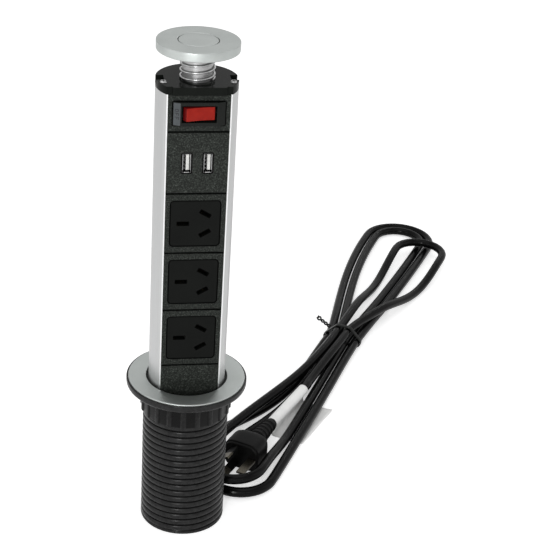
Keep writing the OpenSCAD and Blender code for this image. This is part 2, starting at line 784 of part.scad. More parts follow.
strip_front = seat_gap + strip_t - carrier_y;
strip_back = seat_gap - carrier_y;
strip_w = 4;
active_strip_x = live_x + 7;
neutral_strip_x = live_x - 7.6;
arm_h = 5.4;

// Two spring leaves that grip one pin, on a strip behind the inserts
module leaves(x, z, a) {
  grip = 0.85;
  leaf_t = 0.7;
  translate([x, 0, z]) rotate([0, a, 0]) for (s = [-1, 1])
    translate([0, 0, s * (grip + leaf_t / 2)]) box(5.4, leaf_t, contact_front, strip_front - eps);
}

module strip(x, w) {
  translate([x, 0, socket_z(2)]) box(w, 3 * module_h - 2 * strip_margin, strip_front, strip_back);
}

// A busbar for one slanted slot: the strip beside the slots, with an arm to each pair of leaves
module live_busbar(side, strip_x) {
  z = side * pin_pitch / 2;
  strip(strip_x, strip_w);
  for (i = [1:3]) {
    leaves(live_x, socket_z(i) + z, side * slot_tilt);
    translate([(live_x + strip_x) / 2, 0, socket_z(i) + z])
      box(abs(live_x - strip_x) + strip_w + 1, arm_h, strip_front, strip_back);
  }
}

module active_busbar() {
  color("#c79a3c") live_busbar(1, active_strip_x);
}

module neutral_busbar() {
  color("#c79a3c") live_busbar(-1, neutral_strip_x);
}

module earth_busbar() {
  color("#c79a3c") {
    strip(-earth_x, 6);
    for (i = [1:3]) leaves(-earth_x, socket_z(i), 0);
  }
}

module blank_frame() {
  color("#2b2c2e") translate([0, 0, z_foot + blank_h / 2]) plate(blank_h - module_gap);
}

// Wires inside the tower
module active_wire() {
  color("#6b4326") tube(side_route(1), wire_r, 8, [1, 0.2, 0]);
}

module neutral_wire() {
  color("#2b4f9c") tube(side_route(-1), wire_r, 8, [1, 0.2, 0]);
}

module earth_wire() {
  color("#5f8f2f") tube(earth_route, wire_r, 8, [1, 0.2, 0]);
}

// Mains cord
module cord_lead() {
  color("#121213") tube(lead_route, cord_r, 10, [1, 0, 0]);
}

module cord_hank() {
  echo(cord_hank_self_gap = self_gap(hank_path, cord_d, 4 * cord_d));
  color("#121213") tube(hank_path, cord_r, 6, [0, 0, 1]);
}

module hank_frame(u, v, z) {
  translate(place(u, v, z)) rotate(hank_angle) children();
}

// Flat tie round the waist of the hank, with its two ends twisted together
module bundle_outline(grow) {
  hull() {
    for (s = [-1, 1]) {
      translate([s * 1.5 * waist_step, tie_low]) circle(cord_r + grow, $fn = 24);
      translate([s * 0.5 * waist_step, tie_high]) circle(cord_r + grow, $fn = 24);
    }
  }
}

module cord_tie() {
  tie_w = 4.5;
  twist_l = 14;
  color("#101011") {
    hank_frame(0, 0, 0) rotate([90, 0, -90]) linear_extrude(tie_w, center = true) difference() {
      bundle_outline(1.15);
      bundle_outline(0.25);
    }
    hank_frame(0, -12.2, tie_high + 0.9) rotate([-60, 0, 0]) for (s = [0, 180])
      rotate(s) tube(helix(1.05, 0, twist_l, 2, 12), 0.75, 6, [0, 0, 1]);
  }
}

module plug_frame() {
  translate(place(-boot_u, plug_v, layer_z)) rotate(hank_angle - plug_slant) children();
}

// Bare paper label: wrapped once round the cord, its free end lying under the two strands beside it
module cord_label() {
  label_l = boot_u - label_u - 2;
  flag_w = 27;
  t = 0.4;
  r = cord_r + 0.2;
  flat = layer_z - 0.25;
  color("#e9e9e6") plug_frame() translate([1, 0, 0]) rotate([90, 0, 90]) difference() {
    union() {
      cylinder(r = r + t, h = label_l, $fn = 32);
      linear_extrude(label_l) polygon([
        [0, -r], [-t, -flat], [-flag_w, -flat], [-flag_w, -flat + t], [-2.5 * t, -flat + t], [-t, -r]]);
    }
    translate([0, 0, -1]) cylinder(r = r, h = label_l + 2, $fn = 32);
  }
}

// Pins of the plug: the two live ones are slanted and covered at their root
pin_l = 17;
pin_w = 6.3;
pin_t = 1.6;
pin_cover = 9;
live_v = 4.77;
module at_live_pins() {
  plug_frame() translate([-boot_l - plug_l, 0, 0]) rotate(180)
    for (s = [-1, 1]) translate([0, -live_v, s * pin_pitch / 2]) rotate([s * slot_tilt, 0, 0]) children();
}

// Moulded plug lying on its side: ribbed boot, shoulder and a flat pin face
module plug_body() {
  plug_h = 2 * layer_z - 0.6;
  nose = 2;
  color("#131314") plug_frame() rotate([0, -90, 0]) {
    difference() {
      cylinder(r1 = cord_r + 1, r2 = 7.5, h = boot_l, $fn = 32);
      for (k = [0:4]) translate([0, 0, 5 + k * 5]) ring(12, 4.4 + 0.45 * k, 0, 2);
    }
    translate([0, 0, boot_l]) linear_extrude(plug_l - nose) rounded(plug_h, plug_w, 7);
    translate([0, 0, boot_l + plug_l - nose]) linear_extrude(nose) rounded(plug_h - 2, plug_w - 2, 6);
  }
  color("#131314") at_live_pins() translate([-1, -pin_w / 2, -pin_t / 2]) cube([pin_cover + 1, pin_w, pin_t]);
}

module plug_pins() {
  earth_v = 9.5;
  earth_more = 2;
  color("#c9b37a") {
    plug_frame() translate([-boot_l - plug_l - pin_l - earth_more, -earth_v - pin_w / 2, -pin_t / 2])
      cube([pin_l + earth_more, pin_w, pin_t]);
    at_live_pins() translate([pin_cover, -pin_w / 2, -pin_t / 2]) cube([pin_l - pin_cover, pin_w, pin_t]);
  }
}

threaded_sleeve();
trim_ring();
guide_bush();
clamp_washer();
lock_nut();
tower_extrusion();
top_end_cap();
end_cap_screws();
foot_end_cap();
foot_cap_screws();
cord_gland();
pull_cap();
cap_stem();
stem_clip();
cap_spring();
release_button();
button_rod();
button_spring();
switch_frame();
switch_housing();
rocker();
switch_terminals();
usb_frame();
usb_shells();
usb_tongues();
usb_board();
usb_transformer();
socket_frame_1();
socket_frame_2();
socket_frame_3();
socket_insert_1();
socket_insert_2();
socket_insert_3();
contact_carrier();
active_busbar();
neutral_busbar();
earth_busbar();
blank_frame();
active_wire();
neutral_wire();
earth_wire();
cord_lead();
cord_hank();
cord_tie();
cord_label();
plug_body();
plug_pins();
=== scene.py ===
"""Looks of the pop-up desk socket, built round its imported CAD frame.

Sizes are millimetres in the part's own frame: +Z up, the modules face -Y. They become metres where a mesh or
a curve is made. The floor, the lamps and the camera's clipping are in metres.
"""
import json
from math import copysign, cos, pi, radians, sin, tan

import bmesh
import bpy
from mathutils import Matrix, Vector


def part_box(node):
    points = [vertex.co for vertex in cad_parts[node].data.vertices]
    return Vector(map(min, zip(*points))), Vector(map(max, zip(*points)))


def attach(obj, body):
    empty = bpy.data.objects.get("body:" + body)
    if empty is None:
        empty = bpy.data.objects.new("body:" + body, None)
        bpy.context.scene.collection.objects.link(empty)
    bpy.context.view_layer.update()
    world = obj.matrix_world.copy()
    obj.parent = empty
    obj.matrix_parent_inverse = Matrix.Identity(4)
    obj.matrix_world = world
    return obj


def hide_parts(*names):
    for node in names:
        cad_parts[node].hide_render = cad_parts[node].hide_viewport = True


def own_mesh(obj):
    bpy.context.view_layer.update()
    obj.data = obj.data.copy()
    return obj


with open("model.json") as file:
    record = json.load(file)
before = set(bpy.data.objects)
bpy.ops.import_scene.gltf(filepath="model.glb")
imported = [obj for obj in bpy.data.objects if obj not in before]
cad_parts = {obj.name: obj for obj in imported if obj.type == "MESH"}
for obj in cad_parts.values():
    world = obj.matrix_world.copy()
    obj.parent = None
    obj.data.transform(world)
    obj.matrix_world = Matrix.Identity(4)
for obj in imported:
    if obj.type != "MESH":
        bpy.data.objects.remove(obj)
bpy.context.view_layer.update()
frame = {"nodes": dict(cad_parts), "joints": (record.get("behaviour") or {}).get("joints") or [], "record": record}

MM = 0.001
TURN = 2 * pi
UP = Vector((0, 0, 1))
SCENE = bpy.context.scene
NODES = frame["nodes"]
JOINTS = {joint["name"]: joint for joint in frame["joints"]}


def low(node):
    """Lowest corner of a CAD node, in millimetres."""
    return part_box(node)[0] / MM


def high(node):
    """Highest corner of a CAD node, in millimetres."""
    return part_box(node)[1] / MM


def add_object(name, data):
    """A new object in the scene."""
    made = bpy.data.objects.new(name, data)
    SCENE.collection.objects.link(made)
    return made


# Camera, fitted to the photograph
CAMERA_AT = Vector((-106.77, -887.88, 660.12))
CAMERA_AZIMUTH = radians(-10.686)
CAMERA_ELEVATION = radians(27.7)
CAMERA_ROLL = radians(3.848)
CAMERA_LENS, SENSOR_W = 97.58, 36


def make_camera():
    """The camera at the photograph's place, angle and roll."""
    data = bpy.data.cameras.new("photo_camera")
    data.lens = CAMERA_LENS
    data.sensor_width = SENSOR_W
    data.clip_start = 0.05
    data.clip_end = 20
    azimuth = Matrix.Rotation(CAMERA_AZIMUTH, 4, "Z")
    elevation = Matrix.Rotation(pi / 2 - CAMERA_ELEVATION, 4, "X")
    roll = Matrix.Rotation(CAMERA_ROLL, 4, "Z")
    SCENE.camera = add_object("photo_camera", data)
    SCENE.camera.matrix_world = Matrix.Translation(CAMERA_AT * MM) @ azimuth @ elevation @ roll


# Mesh helpers: weld distances in metres, and the angle in degrees past which an edge stays crisp
WELD, SLIVER = 1e-6, 1e-7
CRISP = 35
FILLET_STEPS = 5


def add_mesh(name, verts, faces, crisp=CRISP):
    """A smooth mesh from points in millimetres, with edges sharper than the angle left crisp."""
    mesh = bpy.data.meshes.new(name)
    mesh.from_pydata([Vector(v) * MM for v in verts], [], faces)
    work = bmesh.new()
    work.from_mesh(mesh)
    bmesh.ops.remove_doubles(work, verts=work.verts, dist=WELD)
    bmesh.ops.dissolve_degenerate(work, edges=work.edges, dist=SLIVER)
    bmesh.ops.recalc_face_normals(work, faces=work.faces)
    work.to_mesh(mesh)
    work.free()
    mesh.polygons.foreach_set("use_smooth", [True] * len(mesh.polygons))
    mesh.set_sharp_from_angle(angle=radians(crisp))
    return add_object(name, mesh)


def fit(piece, body, slot, *stands_for, look=None):
    """Gives a piece its body and the look of its slot or another, and hides the nodes it stands for."""
    piece.data.materials.clear()
    piece.data.materials.append(LOOKS[look or slot])
    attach(piece, body)
    if stands_for:
        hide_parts(*stands_for)
    return piece


def ease(x):
    """0 up to 0, 1 from 1 on, and a smooth rise between."""
    c = min(1, max(0, x))
    return c * c * (3 - 2 * c)


def mix(a, b, t):
    return a + (b - a) * t


def polar(radius, angle, z):
    """A point at a radius and an angle round the upright axis."""
    return (radius * cos(angle), radius * sin(angle), z)


def circle_row(radius, z, segments):
    return [polar(radius, TURN * k / segments, z) for k in range(segments)]


def oval(half_w, half_h, power, count=56):
    """A superellipse: power 2 is an ellipse, more is squarer."""
    points = []
    for k in range(count):
        c, s = cos(TURN * k / count), sin(TURN * k / count)
        points.append((half_w * copysign(abs(c) ** (2 / power), c),
                       half_h * copysign(abs(s) ** (2 / power), s)))
    return points


def fillet(corners):
    """A closed outline from (x, y, radius) corners, each rounded by an arc of its radius."""
    outline = []
    count = len(corners)
    for i, (x, y, radius) in enumerate(corners):
        here = Vector((x, y))
        if radius <= 0:
            outline.append((x, y))
            continue
        before = (Vector(corners[i - 1][:2]) - here).normalized()
        after = (Vector(corners[(i + 1) % count][:2]) - here).normalized()
        half = before.angle(after) / 2
        middle = here + (before + after).normalized() * radius / sin(half)
        first = here + before * radius / tan(half) - middle
        last = here + after * radius / tan(half) - middle
        full = first.angle(last)
        for k in range(FILLET_STEPS + 1):
            t = k / FILLET_STEPS
            arm = (sin((1 - t) * full) * first + sin(t * full) * last) / sin(full)
            outline.append((middle.x + arm.x, middle.y + arm.y))
    return outline


def skin(rows, closed=True):
    """Points and faces over rows of points that each run once round."""
    count = len(rows[0])
    faces = []
    for i in range(len(rows) if closed else len(rows) - 1):
        j = (i + 1) % len(rows)
        for k in range(count):
            m = (k + 1) % count
            faces.append((i * count + k, i * count + m, j * count + m, j * count + k))
    return [p for row in rows for p in row], faces


def grid(rows):
    """Points and faces over rows of points that each have two ends."""
    count = len(rows[0])
    faces = [(i * count + k, (i + 1) * count + k, (i + 1) * count + k + 1, i * count + k + 1)
             for i in range(len(rows) - 1) for k in range(count - 1)]
    return [p for row in rows for p in row], faces


def capped(name, rows, crisp=CRISP):
    """A skin over rows with its two ends closed flat."""
    verts, faces = skin(rows, False)
    count = len(rows[0])
    faces += [tuple(range(count)), tuple(range(len(verts) - count, len(verts)))]
    return add_mesh(name, verts, faces, crisp)


def lathe(name, outline, segments):
    """A closed outline of (radius, height) points turned round the axis."""
    return add_mesh(name, *skin([circle_row(r, z, segments) for r, z in outline]))


def sweep(name, path, radius, sides):
    """A round tube along a path, with flat closed ends."""
    points = [Vector(p) for p in path]
    last = len(points) - 1
    side = None
    rows = []
    for i, point in enumerate(points):
        along = (points[min(i + 1, last)] - points[max(i - 1, 0)]).normalized()
        side = along.orthogonal() if side is None else side
        side = (side - along * side.dot(along)).normalized()
        other = along.cross(side)
        arms = circle_row(radius, 0, sides)
        rows.append([point + a * side + b * other for a, b, _ in arms])
    return capped(name, rows, crisp=60)


def spring_line(radius, z_from, z_to, turns, wire, start):
    """A compression spring's centreline: at each end part of a turn lies closed on the next."""
    closed, per_turn, closed_pitch = 0.7, 36, 1.04 * wire
    ends = closed * closed_pitch
    line = []
    for k in range(int(turns * per_turn) + 1):
        t = k / per_turn
        to_end = min(t, turns - t)
        if to_end < closed:
            rise = to_end * closed_pitch
            z = z_from + rise if t < turns / 2 else z_to - rise
        else:
            z = mix(z_from + ends, z_to - ends, (t - closed) / (turns - 2 * closed))
        line.append(polar(radius, start + TURN * t, z))
    return line


def smooth_line(points, spacing):
    """A Catmull-Rom line through the points, with a point about every spacing millimetres."""
    line = []
    last = len(points) - 1
    for i in range(last):
        p0, p1, p2, p3 = (points[min(max(i + k, 0), last)] for k in (-1, 0, 1, 2))
        steps = max(1, round((p2 - p1).length / spacing))
        for k in range(steps):
            t = k / steps
            line.append(0.5 * (2 * p1 + (p2 - p0) * t + (2 * p0 - 5 * p1 + 4 * p2 - p3) * t * t
                               + (3 * p1 - p0 - 3 * p2 + p3) * t ** 3))
    line.append(points[last])
    return line


# Material helpers
LOOKS = {}


class Nodes:
    """A node tree, with short calls that make its nodes."""

    def __init__(self, tree):
        self.tree = tree

    def feed(self, socket, value):
        """Links a socket to another one, or sets it to a value."""
        if isinstance(value, bpy.types.NodeSocket):
            self.tree.links.new(value, socket)
        else:
            socket.default_value = value

    def node(self, kind, inputs=(), **settings):
        made = self.tree.nodes.new("ShaderNode" + kind)
        for key, value in settings.items():
            setattr(made, key, value)
        for key, value in dict(inputs).items():
            self.feed(made.inputs[key], value)
        return made

    def ramp(self, fac, *stops):
        """A colour ramp from (position, value or colour) stops."""
        made = self.node("ValToRGB", {"Fac": fac})
        elements = made.color_ramp.elements
        while len(elements) < len(stops):
            elements.new(0.5)
        for element, (position, value) in zip(elements, stops):
            element.position = position
            colour = value if isinstance(value, tuple) else (value,) * 3
            element.color = (*colour, 1)
        return made.outputs["Color"]


class Look(Nodes):
    """A procedural material, kept in LOOKS: a principled shader with textures in the object's own metres."""

    def __init__(self, name, **values):
        self.material = bpy.data.materials.new(name)
        self.material.use_nodes = True
        super().__init__(self.material.node_tree)
        self.shader = self.tree.nodes["Principled BSDF"]
        self.place = self.node("TexCoord").outputs["Object"]
        for socket, value in values.items():
            self.feed(self.shader.inputs[socket.replace("_", " ")], value)
        LOOKS[name] = self.material

    def stretched(self, x, y, z):
        """The object's place, scaled along each axis."""
        return self.node("Mapping", {"Vector": self.place, "Scale": (x, y, z)}).outputs["Vector"]

    def noise(self, grain, detail=3, place=None):
        """Noise whose grain is a length in millimetres."""
        inputs = {"Vector": place or self.place, "Scale": 1 / (grain * MM), "Detail": detail}
        return self.node("TexNoise", inputs).outputs["Fac"]

    def cells(self, grain):
        """Distance to the nearest cell centre, with cells about a grain across in millimetres."""
        inputs = {"Vector": self.place, "Scale": 1 / (grain * MM)}
        return self.node("TexVoronoi", inputs).outputs["Distance"]

    def step(self, value, start, end):
        """0 on the near side of a range of values, 1 past its end."""
        return self.node("MapRange", {"Value": value, "From Min": start, "From Max": end}).outputs["Result"]

    def along_y(self, vector):
        return self.node("SeparateXYZ", {0: vector}).outputs["Y"]

    def in_front_of(self, y, soft=0.05):
        """1 where the object's place is in front of a y in millimetres, 0 behind it."""
        return self.step(self.along_y(self.place), (y + soft) * MM, (y - soft) * MM)

    def facing_front(self):
        """1 on faces that look along -Y in the object's own frame, 0 on the others."""
        return self.step(self.along_y(self.node("TexCoord").outputs["Normal"]), -0.75, -0.95)

    def beyond(self, radius, soft=0.3):
        """0 inside a radius in millimetres round the upright axis, 1 outside it."""
        flat = self.node("VectorMath", {0: self.stretched(1, 1, 0)}, operation="LENGTH")
        return self.step(flat.outputs["Value"], (radius - soft) * MM, (radius + soft) * MM)

    def between(self, fac, first, last):
        """A ramp over the middle of a texture's range, where most of its values lie."""
        return self.ramp(fac, (0.3, first), (0.7, last))

    def paint(self, colour):
        self.feed(self.shader.inputs["Base Color"], colour)

    def mixed(self, fac, first, second):
        """Base colour from two: inputs 6 and 7 of a mix node are colours, and so is output 2."""
        self.paint(self.node("Mix", {0: fac, 6: first, 7: second}, data_type="RGBA").outputs[2])

    def colour(self, fac, first, last):
        self.paint(self.between(fac, first, last))

    def rough(self, fac, first, last):
        self.feed(self.shader.inputs["Roughness"], self.between(fac, first, last))

    def bump(self, height, depth, strength):
        """Relief of a depth in millimetres, on top of any relief that is there."""
        relief = self.node("Bump", {"Height": height, "Distance": depth * MM, "Strength": strength})
        normal = self.shader.inputs["Normal"]
        if normal.is_linked:
            self.feed(relief.inputs["Normal"], normal.links[0].from_socket)
        self.feed(normal, relief.outputs["Normal"])


def grey(value, green=1):
    """A grey whose green is raised by a factor."""
    return (value, value * green, value)


def shaded(colour, factor):
    return tuple(min(1, factor * c) for c in colour)


def satin_silver():
    """Satin metal: a fine even grain and a faint cloud."""
    look = Look("satin_silver", Metallic=1.0)
    fine = look.noise(0.35, 2)
    look.colour(look.noise(14, 2), (0.52, 0.55, 0.535), (0.57, 0.60, 0.585))
    look.rough(fine, 0.36, 0.5)
    look.bump(fine, 0.02, 0.35)


def tower_aluminium():
    """Drawn aluminium: upright streaks, and a painted highlight on the two front lips: a paler colour along their
    front edge.
    """
    painted_highlight_depth = 0.1
    look = Look("tower_aluminium", Metallic=1.0)
    streaks = look.noise(1.2, 4, look.stretched(1, 1, 0.01))
    body = look.between(streaks, (0.57, 0.575, 0.575), (0.63, 0.635, 0.635))
    # Painted highlight: the front edge of each lip is painted much paler than the body, for the light it catches.
    lip = look.between(streaks, (0.88, 0.885, 0.885), (0.93, 0.935, 0.935))
    look.mixed(look.in_front_of(low("tower_extrusion").y + painted_highlight_depth), body, lip)
    look.rough(streaks, 0.34, 0.46)
    look.bump(streaks, 0.02, 0.5)
    look.bump(look.noise(0.3, 2), 0.01, 0.3)


def chrome(name, shade, roughness, lines):
    """Bright turned metal with fine lines round the axis."""
    look = Look(name, Metallic=1.0)
    turned = look.noise(lines, 3, look.stretched(0.02, 0.02, 1))
    look.colour(turned, grey(shade * 0.93), grey(shade))
    look.rough(turned, roughness * 0.8, roughness * 1.25)
    look.bump(turned, 0.01, 0.4)


def spring_steel():
    look = Look("spring_steel", Metallic=1.0)
    drawn = look.noise(0.25, 3, look.stretched(1, 1, 3))
    look.colour(drawn, grey(0.52), grey(0.66))
    look.rough(drawn, 0.2, 0.34)
    look.bump(drawn, 0.01, 0.4)


def textured_black(name, dark, light, grain):
    """Black plastic moulded in a spark-eroded tool: fine pits with light specks on their rims."""
    look = Look(name, Specular_IOR_Level=0.15)
    pits = look.cells(grain)
    cloud = look.noise(grain * 1.6, 4)
    stops = (0.42, grey(dark, 1.2)), (0.6, grey(mix(dark, light, 0.3), 1.15)), (0.75, grey(light, 1.1))
    look.paint(look.ramp(cloud, *stops))
    look.rough(cloud, 0.5, 0.64)
    look.bump(pits, 0.07, 0.7)
    look.bump(cloud, 0.07, 0.6)


def smooth_black(name, shade, roughness, grain=0.6, depth=0.01, gloss=0.15):
    """Black plastic from a fine tool: an even skin with slight flow marks."""
    look = Look(name, Specular_IOR_Level=gloss)
    flow = look.noise(18)
    look.colour(flow, grey(shade * 0.85, 1.15), grey(shade * 1.15, 1.15))
    look.rough(flow, roughness * 0.9, roughness * 1.15)
    look.bump(look.noise(grain), depth, 0.4)


def ribbed_black(name, radius, painted_shade_groove, ridge, gloss):
    """Black plastic whose grooves, inside a radius, are painted darker than its ridges outside it: painted shade.
    """
    look = Look(name, Specular_IOR_Level=gloss)
    flow = look.noise(18)
    # Painted shade: the grooves take a near-black colour for the shade that falls in them, darker than the ridges.
    painted_shade_grooves = look.between(flow, grey(painted_shade_groove * 0.6), grey(painted_shade_groove * 1.4))
    ridges = look.between(look.noise(2.5, 4), grey(ridge * 0.5), grey(ridge * 1.5))
    look.mixed(look.beyond(radius), painted_shade_grooves, ridges)
    look.rough(flow, 0.24, 0.32)
    look.bump(look.noise(0.5), 0.02, 0.4)


def rocker_red():
    """Red plastic, with painted shade: the walls are painted darker than the front face."""
    look = Look("rocker_red", Specular_IOR_Level=0.12)
    flow = look.noise(5, 2)
    face = look.between(flow, (0.25, 0.010, 0.006), (0.32, 0.016, 0.009))
    # Painted shade: the walls' colour is darkened for the shade they lie in within the window.
    wall = look.between(flow, (0.085, 0.002, 0.002), (0.115, 0.003, 0.003))
    look.mixed(look.facing_front(), wall, face)
    look.rough(flow, 0.3, 0.4)
    look.bump(look.noise(0.4, 2), 0.01, 0.3)


def drawn_brass(name, shade):
    look = Look(name, Metallic=1.0)
    drawn = look.noise(0.4, 3, look.stretched(1, 1, 0.1))
    look.colour(drawn, shaded(shade, 0.86), shade)
    look.rough(drawn, 0.24, 0.38)
    look.bump(drawn, 0.01, 0.4)


def coloured_plastic(name, shade, roughness=0.45):
    look = Look(name)
    flow = look.noise(6)
    look.colour(flow, shaded(shade, 0.86), shaded(shade, 1.1))
    look.rough(flow, roughness - 0.06, roughness + 0.08)
    look.bump(look.noise(0.3, 2), 0.01, 0.35)


def circuit_board():
    """Green lacquer over copper tracks."""
    look = Look("board_green", Coat_Weight=0.4)
    tracks = look.cells(4.5)
    stops = (0.0, (0.05, 0.22, 0.08)), (0.3, (0.03, 0.15, 0.05)), (0.9, (0.02, 0.10, 0.035))
    look.paint(look.ramp(tracks, *stops))
    look.rough(look.noise(2, 2), 0.3, 0.42)
    look.bump(tracks, 0.05, 0.4)


def rubber_black(name, shade, roughness):
    look = Look(name, Specular_IOR_Level=0.1)
    fine = look.noise(0.35)
    look.colour(look.noise(9, 4), grey(shade * 0.8), grey(shade * 1.25))
    look.rough(fine, roughness, roughness + 0.15)
    look.bump(fine, 0.02, 0.5)


def cord_black():
    """The cord's smooth sheath, slightly scuffed."""
    look = Look("cord_black", Specular_IOR_Level=0.12)
    scuff = look.noise(7, 4)
    look.colour(scuff, grey(0.0015), grey(0.003))
    look.rough(scuff, 0.16, 0.26)
    look.bump(scuff, 0.06, 0.25)
    look.bump(look.noise(0.5), 0.015, 0.35)


def label_paper():
    look = Look("label_paper", Specular_IOR_Level=0.25)
    fibre = look.noise(0.5, 4)
    look.colour(look.noise(12, 2), (0.82, 0.82, 0.81), (0.90, 0.90, 0.89))
    look.rough(fibre, 0.6, 0.78)
    look.bump(fibre, 0.03, 0.4)


def make_looks():
    ribbed_black("sleeve_black", radius=28.75, painted_shade_groove=0.0004, ridge=0.014, gloss=0.2)
    ribbed_black("nut_black", radius=31.0, painted_shade_groove=0.0015, ridge=0.013, gloss=0.12)
    satin_silver()
    tower_aluminium()
    smooth_black("bush_black", 0.012, 0.5)
    rubber_black("washer_rubber", 0.014, 0.6)
    smooth_black("cap_black", 0.008, 0.13, grain=0.4, depth=0.004, gloss=0.04)
    textured_black("panel_black", dark=0.009, light=0.08, grain=0.55)
    textured_black("frame_black", dark=0.006, light=0.085, grain=0.5)
    smooth_black("insert_black", 0.004, 0.36, grain=0.5, depth=0.012, gloss=0.09)
    # Near black for the seams at joints, and also for the painted shade in the ports.
    smooth_black("seam_and_painted_shade_black", 0.0006, 0.5, grain=0.5, depth=0.004, gloss=0.02)
    smooth_black("switch_black", 0.008, 0.28)
    rocker_red()
    chrome("stem_chrome", 0.48, 0.34, lines=0.25)
    spring_steel()
    chrome("screw_steel", 0.5, 0.25, lines=0.2)
    # Painted shade: the ports' steel is painted dark for the shade inside the ports; a lit copy of the same steel
    # follows below.
    chrome("port_steel", 0.1, 0.24, lines=0.4)
    coloured_plastic("port_white", (0.66, 0.66, 0.64))
    drawn_brass("contact_brass", (0.72, 0.5, 0.2))
    # Painted shade: the same brass as the contacts, painted dark for the shade the pins lie in.
    drawn_brass("pin_brass", (0.16, 0.145, 0.115))
    circuit_board()
    coloured_plastic("coil_yellow", (0.62, 0.44, 0.06), 0.35)
    smooth_black("carrier_grey", 0.05, 0.5)
    coloured_plastic("wire_brown", (0.13, 0.06, 0.03))
    coloured_plastic("wire_blue", (0.03, 0.08, 0.3))
    coloured_plastic("wire_green", (0.12, 0.3, 0.04))
    cord_black()
    rubber_black("plug_black", 0.004, 0.36)
    smooth_black("tie_black", 0.005, 0.3)
    label_paper()
    # Painted light: a lit copy of the ports' steel, for the lips and the strips where light falls in the ports.
    chrome("painted_lit_steel", 0.55, 0.3, lines=0.4)
    # Painted sheen: a grey that stands in for the light on the sloped black end of the bezel.
    coloured_plastic("off_painted_sheen", (0.044, 0.052, 0.057), 0.35)
    coloured_plastic("off_letters", (0.004, 0.005, 0.008), 0.4)


SOCKET_FRAMES = ("socket_frame_1", "socket_frame_2", "socket_frame_3")
MODULE_FRAMES = ("switch_frame", "usb_frame", *SOCKET_FRAMES, "blank_frame")
SOFT_EDGES = {"top_end_cap": 0.3, "switch_housing": 0.2, **dict.fromkeys(SOCKET_FRAMES, 0.25)}


def dress_nodes():
    """CAD nodes take the look of their slot, the socket frames a finer one, and some take softened edges."""
    for part in frame["record"]["subparts"]:
        name = part["node"]
        look = "frame_black" if name in SOCKET_FRAMES else part["material_slot"]
        mesh = NODES[name].data
        mesh.materials.clear()
        mesh.materials.append(LOOKS[look])
    for name, width in SOFT_EDGES.items():
        edges = NODES[name].modifiers.new("soft_edges", "BEVEL")
        edges.width = width * MM
        edges.segments = 2
        edges.limit_method = "ANGLE"
        edges.angle_limit = radians(50)


# Turned pieces
TRIM_BORE_R = 27.8
ROD_HOLE_R, SPRING_SEAT_R, BOSS_R, POCKET_R = 2.05, 4.6, 7, 13
SPRING_SEAT_H, POCKET_D, BUTTON_GAP = 1, 3.9, 0.35


def make_trim_ring():
    z0, z1, outer = low("trim_ring").z, high("trim_ring").z, high("trim_ring").x
    outline = fillet([(TRIM_BORE_R, z0, 0), (outer, z0, 0), (outer, z1, 0.6), (TRIM_BORE_R, z1, 0.5)])
    fit(lathe("trim_ring_turned", outline, 192), "sleeve", "satin_silver", "trim_ring")


def make_pull_cap():
    """The cap's disc with a pocket for the button, on a boss that holds the button's spring."""
    edge, z_boss, z_top = high("pull_cap").x, low("pull_cap").z, high("pull_cap").z
    z_disc, z_pocket, z_seat = high("cap_stem").z, z_top - POCKET_D, z_boss + SPRING_SEAT_H
    outline = fillet([
        (ROD_HOLE_R, z_boss, 0), (BOSS_R, z_boss, 0.3), (BOSS_R, z_disc, 0), (edge, z_disc, 0.7),
        (edge, z_top, 0.5), (POCKET_R, z_top, 0.45), (POCKET_R, z_pocket, 0), (SPRING_SEAT_R, z_pocket, 0),
        (SPRING_SEAT_R, z_seat, 0), (ROD_HOLE_R, z_seat, 0)])
    fit(lathe("pull_cap_turned", outline, 192), "cap", "satin_silver", "pull_cap")


def make_button():
    """The button, a little smaller than its solid, so that a dark line shows round it."""
    edge, z0, z1 = high("release_button").x - BUTTON_GAP, low("release_button").z, high("release_button").z
    outline = fillet([(0, z0, 0), (edge, z0, 0.2), (edge, z1, 0.5), (0, z1, 0)])
    fit(lathe("button_turned", outline, 128), "button", "satin_silver", "release_button")


# Lock nut. Widths of a flute and its flank are shares of half a flute's pitch
NUT_BORE_R, NUT_RIM_H = 29.8, 2
NUT_FLUTES, FLUTE_STEPS, FLUTE_D = 20, 24, 0.9
FLUTE_W, FLANK_W, FLUTE_CROWN = 0.58, 0.2, 0.2


def flute_cut(k):
    """How deep the flutes are at the k-th step round the nut."""
    half = FLUTE_STEPS / 2
    share = abs((k + 0.5 - half) % FLUTE_STEPS - half) / half
    return FLUTE_D * (1 - FLUTE_CROWN * share ** 2) * (1 - ease((share - FLUTE_W) / FLANK_W))


def make_nut():
    """The lock nut: grip flutes with soft flanks below a plain rim."""
    z0, z1, outer = low("lock_nut").z, high("lock_nut").z, high("lock_nut").x
    rim = z1 - NUT_RIM_H
    segments = NUT_FLUTES * FLUTE_STEPS

    def row(z, fluted, inset):
        return [polar(outer - flute_cut(k) * fluted - inset, TURN * (k + 0.5) / segments, z)
                for k in range(segments)]

    # Height, share of the flutes' depth, inset: the lower edge, the flutes' end, the rim, then the bore
    rows = [row(z0, 1, 0.7), row(z0 + 0.2, 1, 0.2), row(z0 + 0.7, 1, 0),
            row(rim - 1.2, 1, 0), row(rim - 0.4, 0.8, 0), row(rim - 0.1, 0.3, 0), row(rim, 0, 0),
            row(z1 - 0.5, 0, 0), row(z1 - 0.15, 0, 0.15), row(z1, 0, 0.5),
            circle_row(NUT_BORE_R, z1, segments), circle_row(NUT_BORE_R, z0, segments)]
    fit(add_mesh("lock_nut_fluted", *skin(rows)), "nut", "sleeve_black", "lock_nut", look="nut_black")


# Screw heads
SCREW_X, SCREW_Y = 21.9, -7.8
CROSS_ARM, CROSS_HALF_W, CROSS_D, CROSS_PROUD = 1.25, 0.42, 0.3, 0.03
QUARTERS = ((1, 0), (0, 1), (-1, 0), (0, -1))


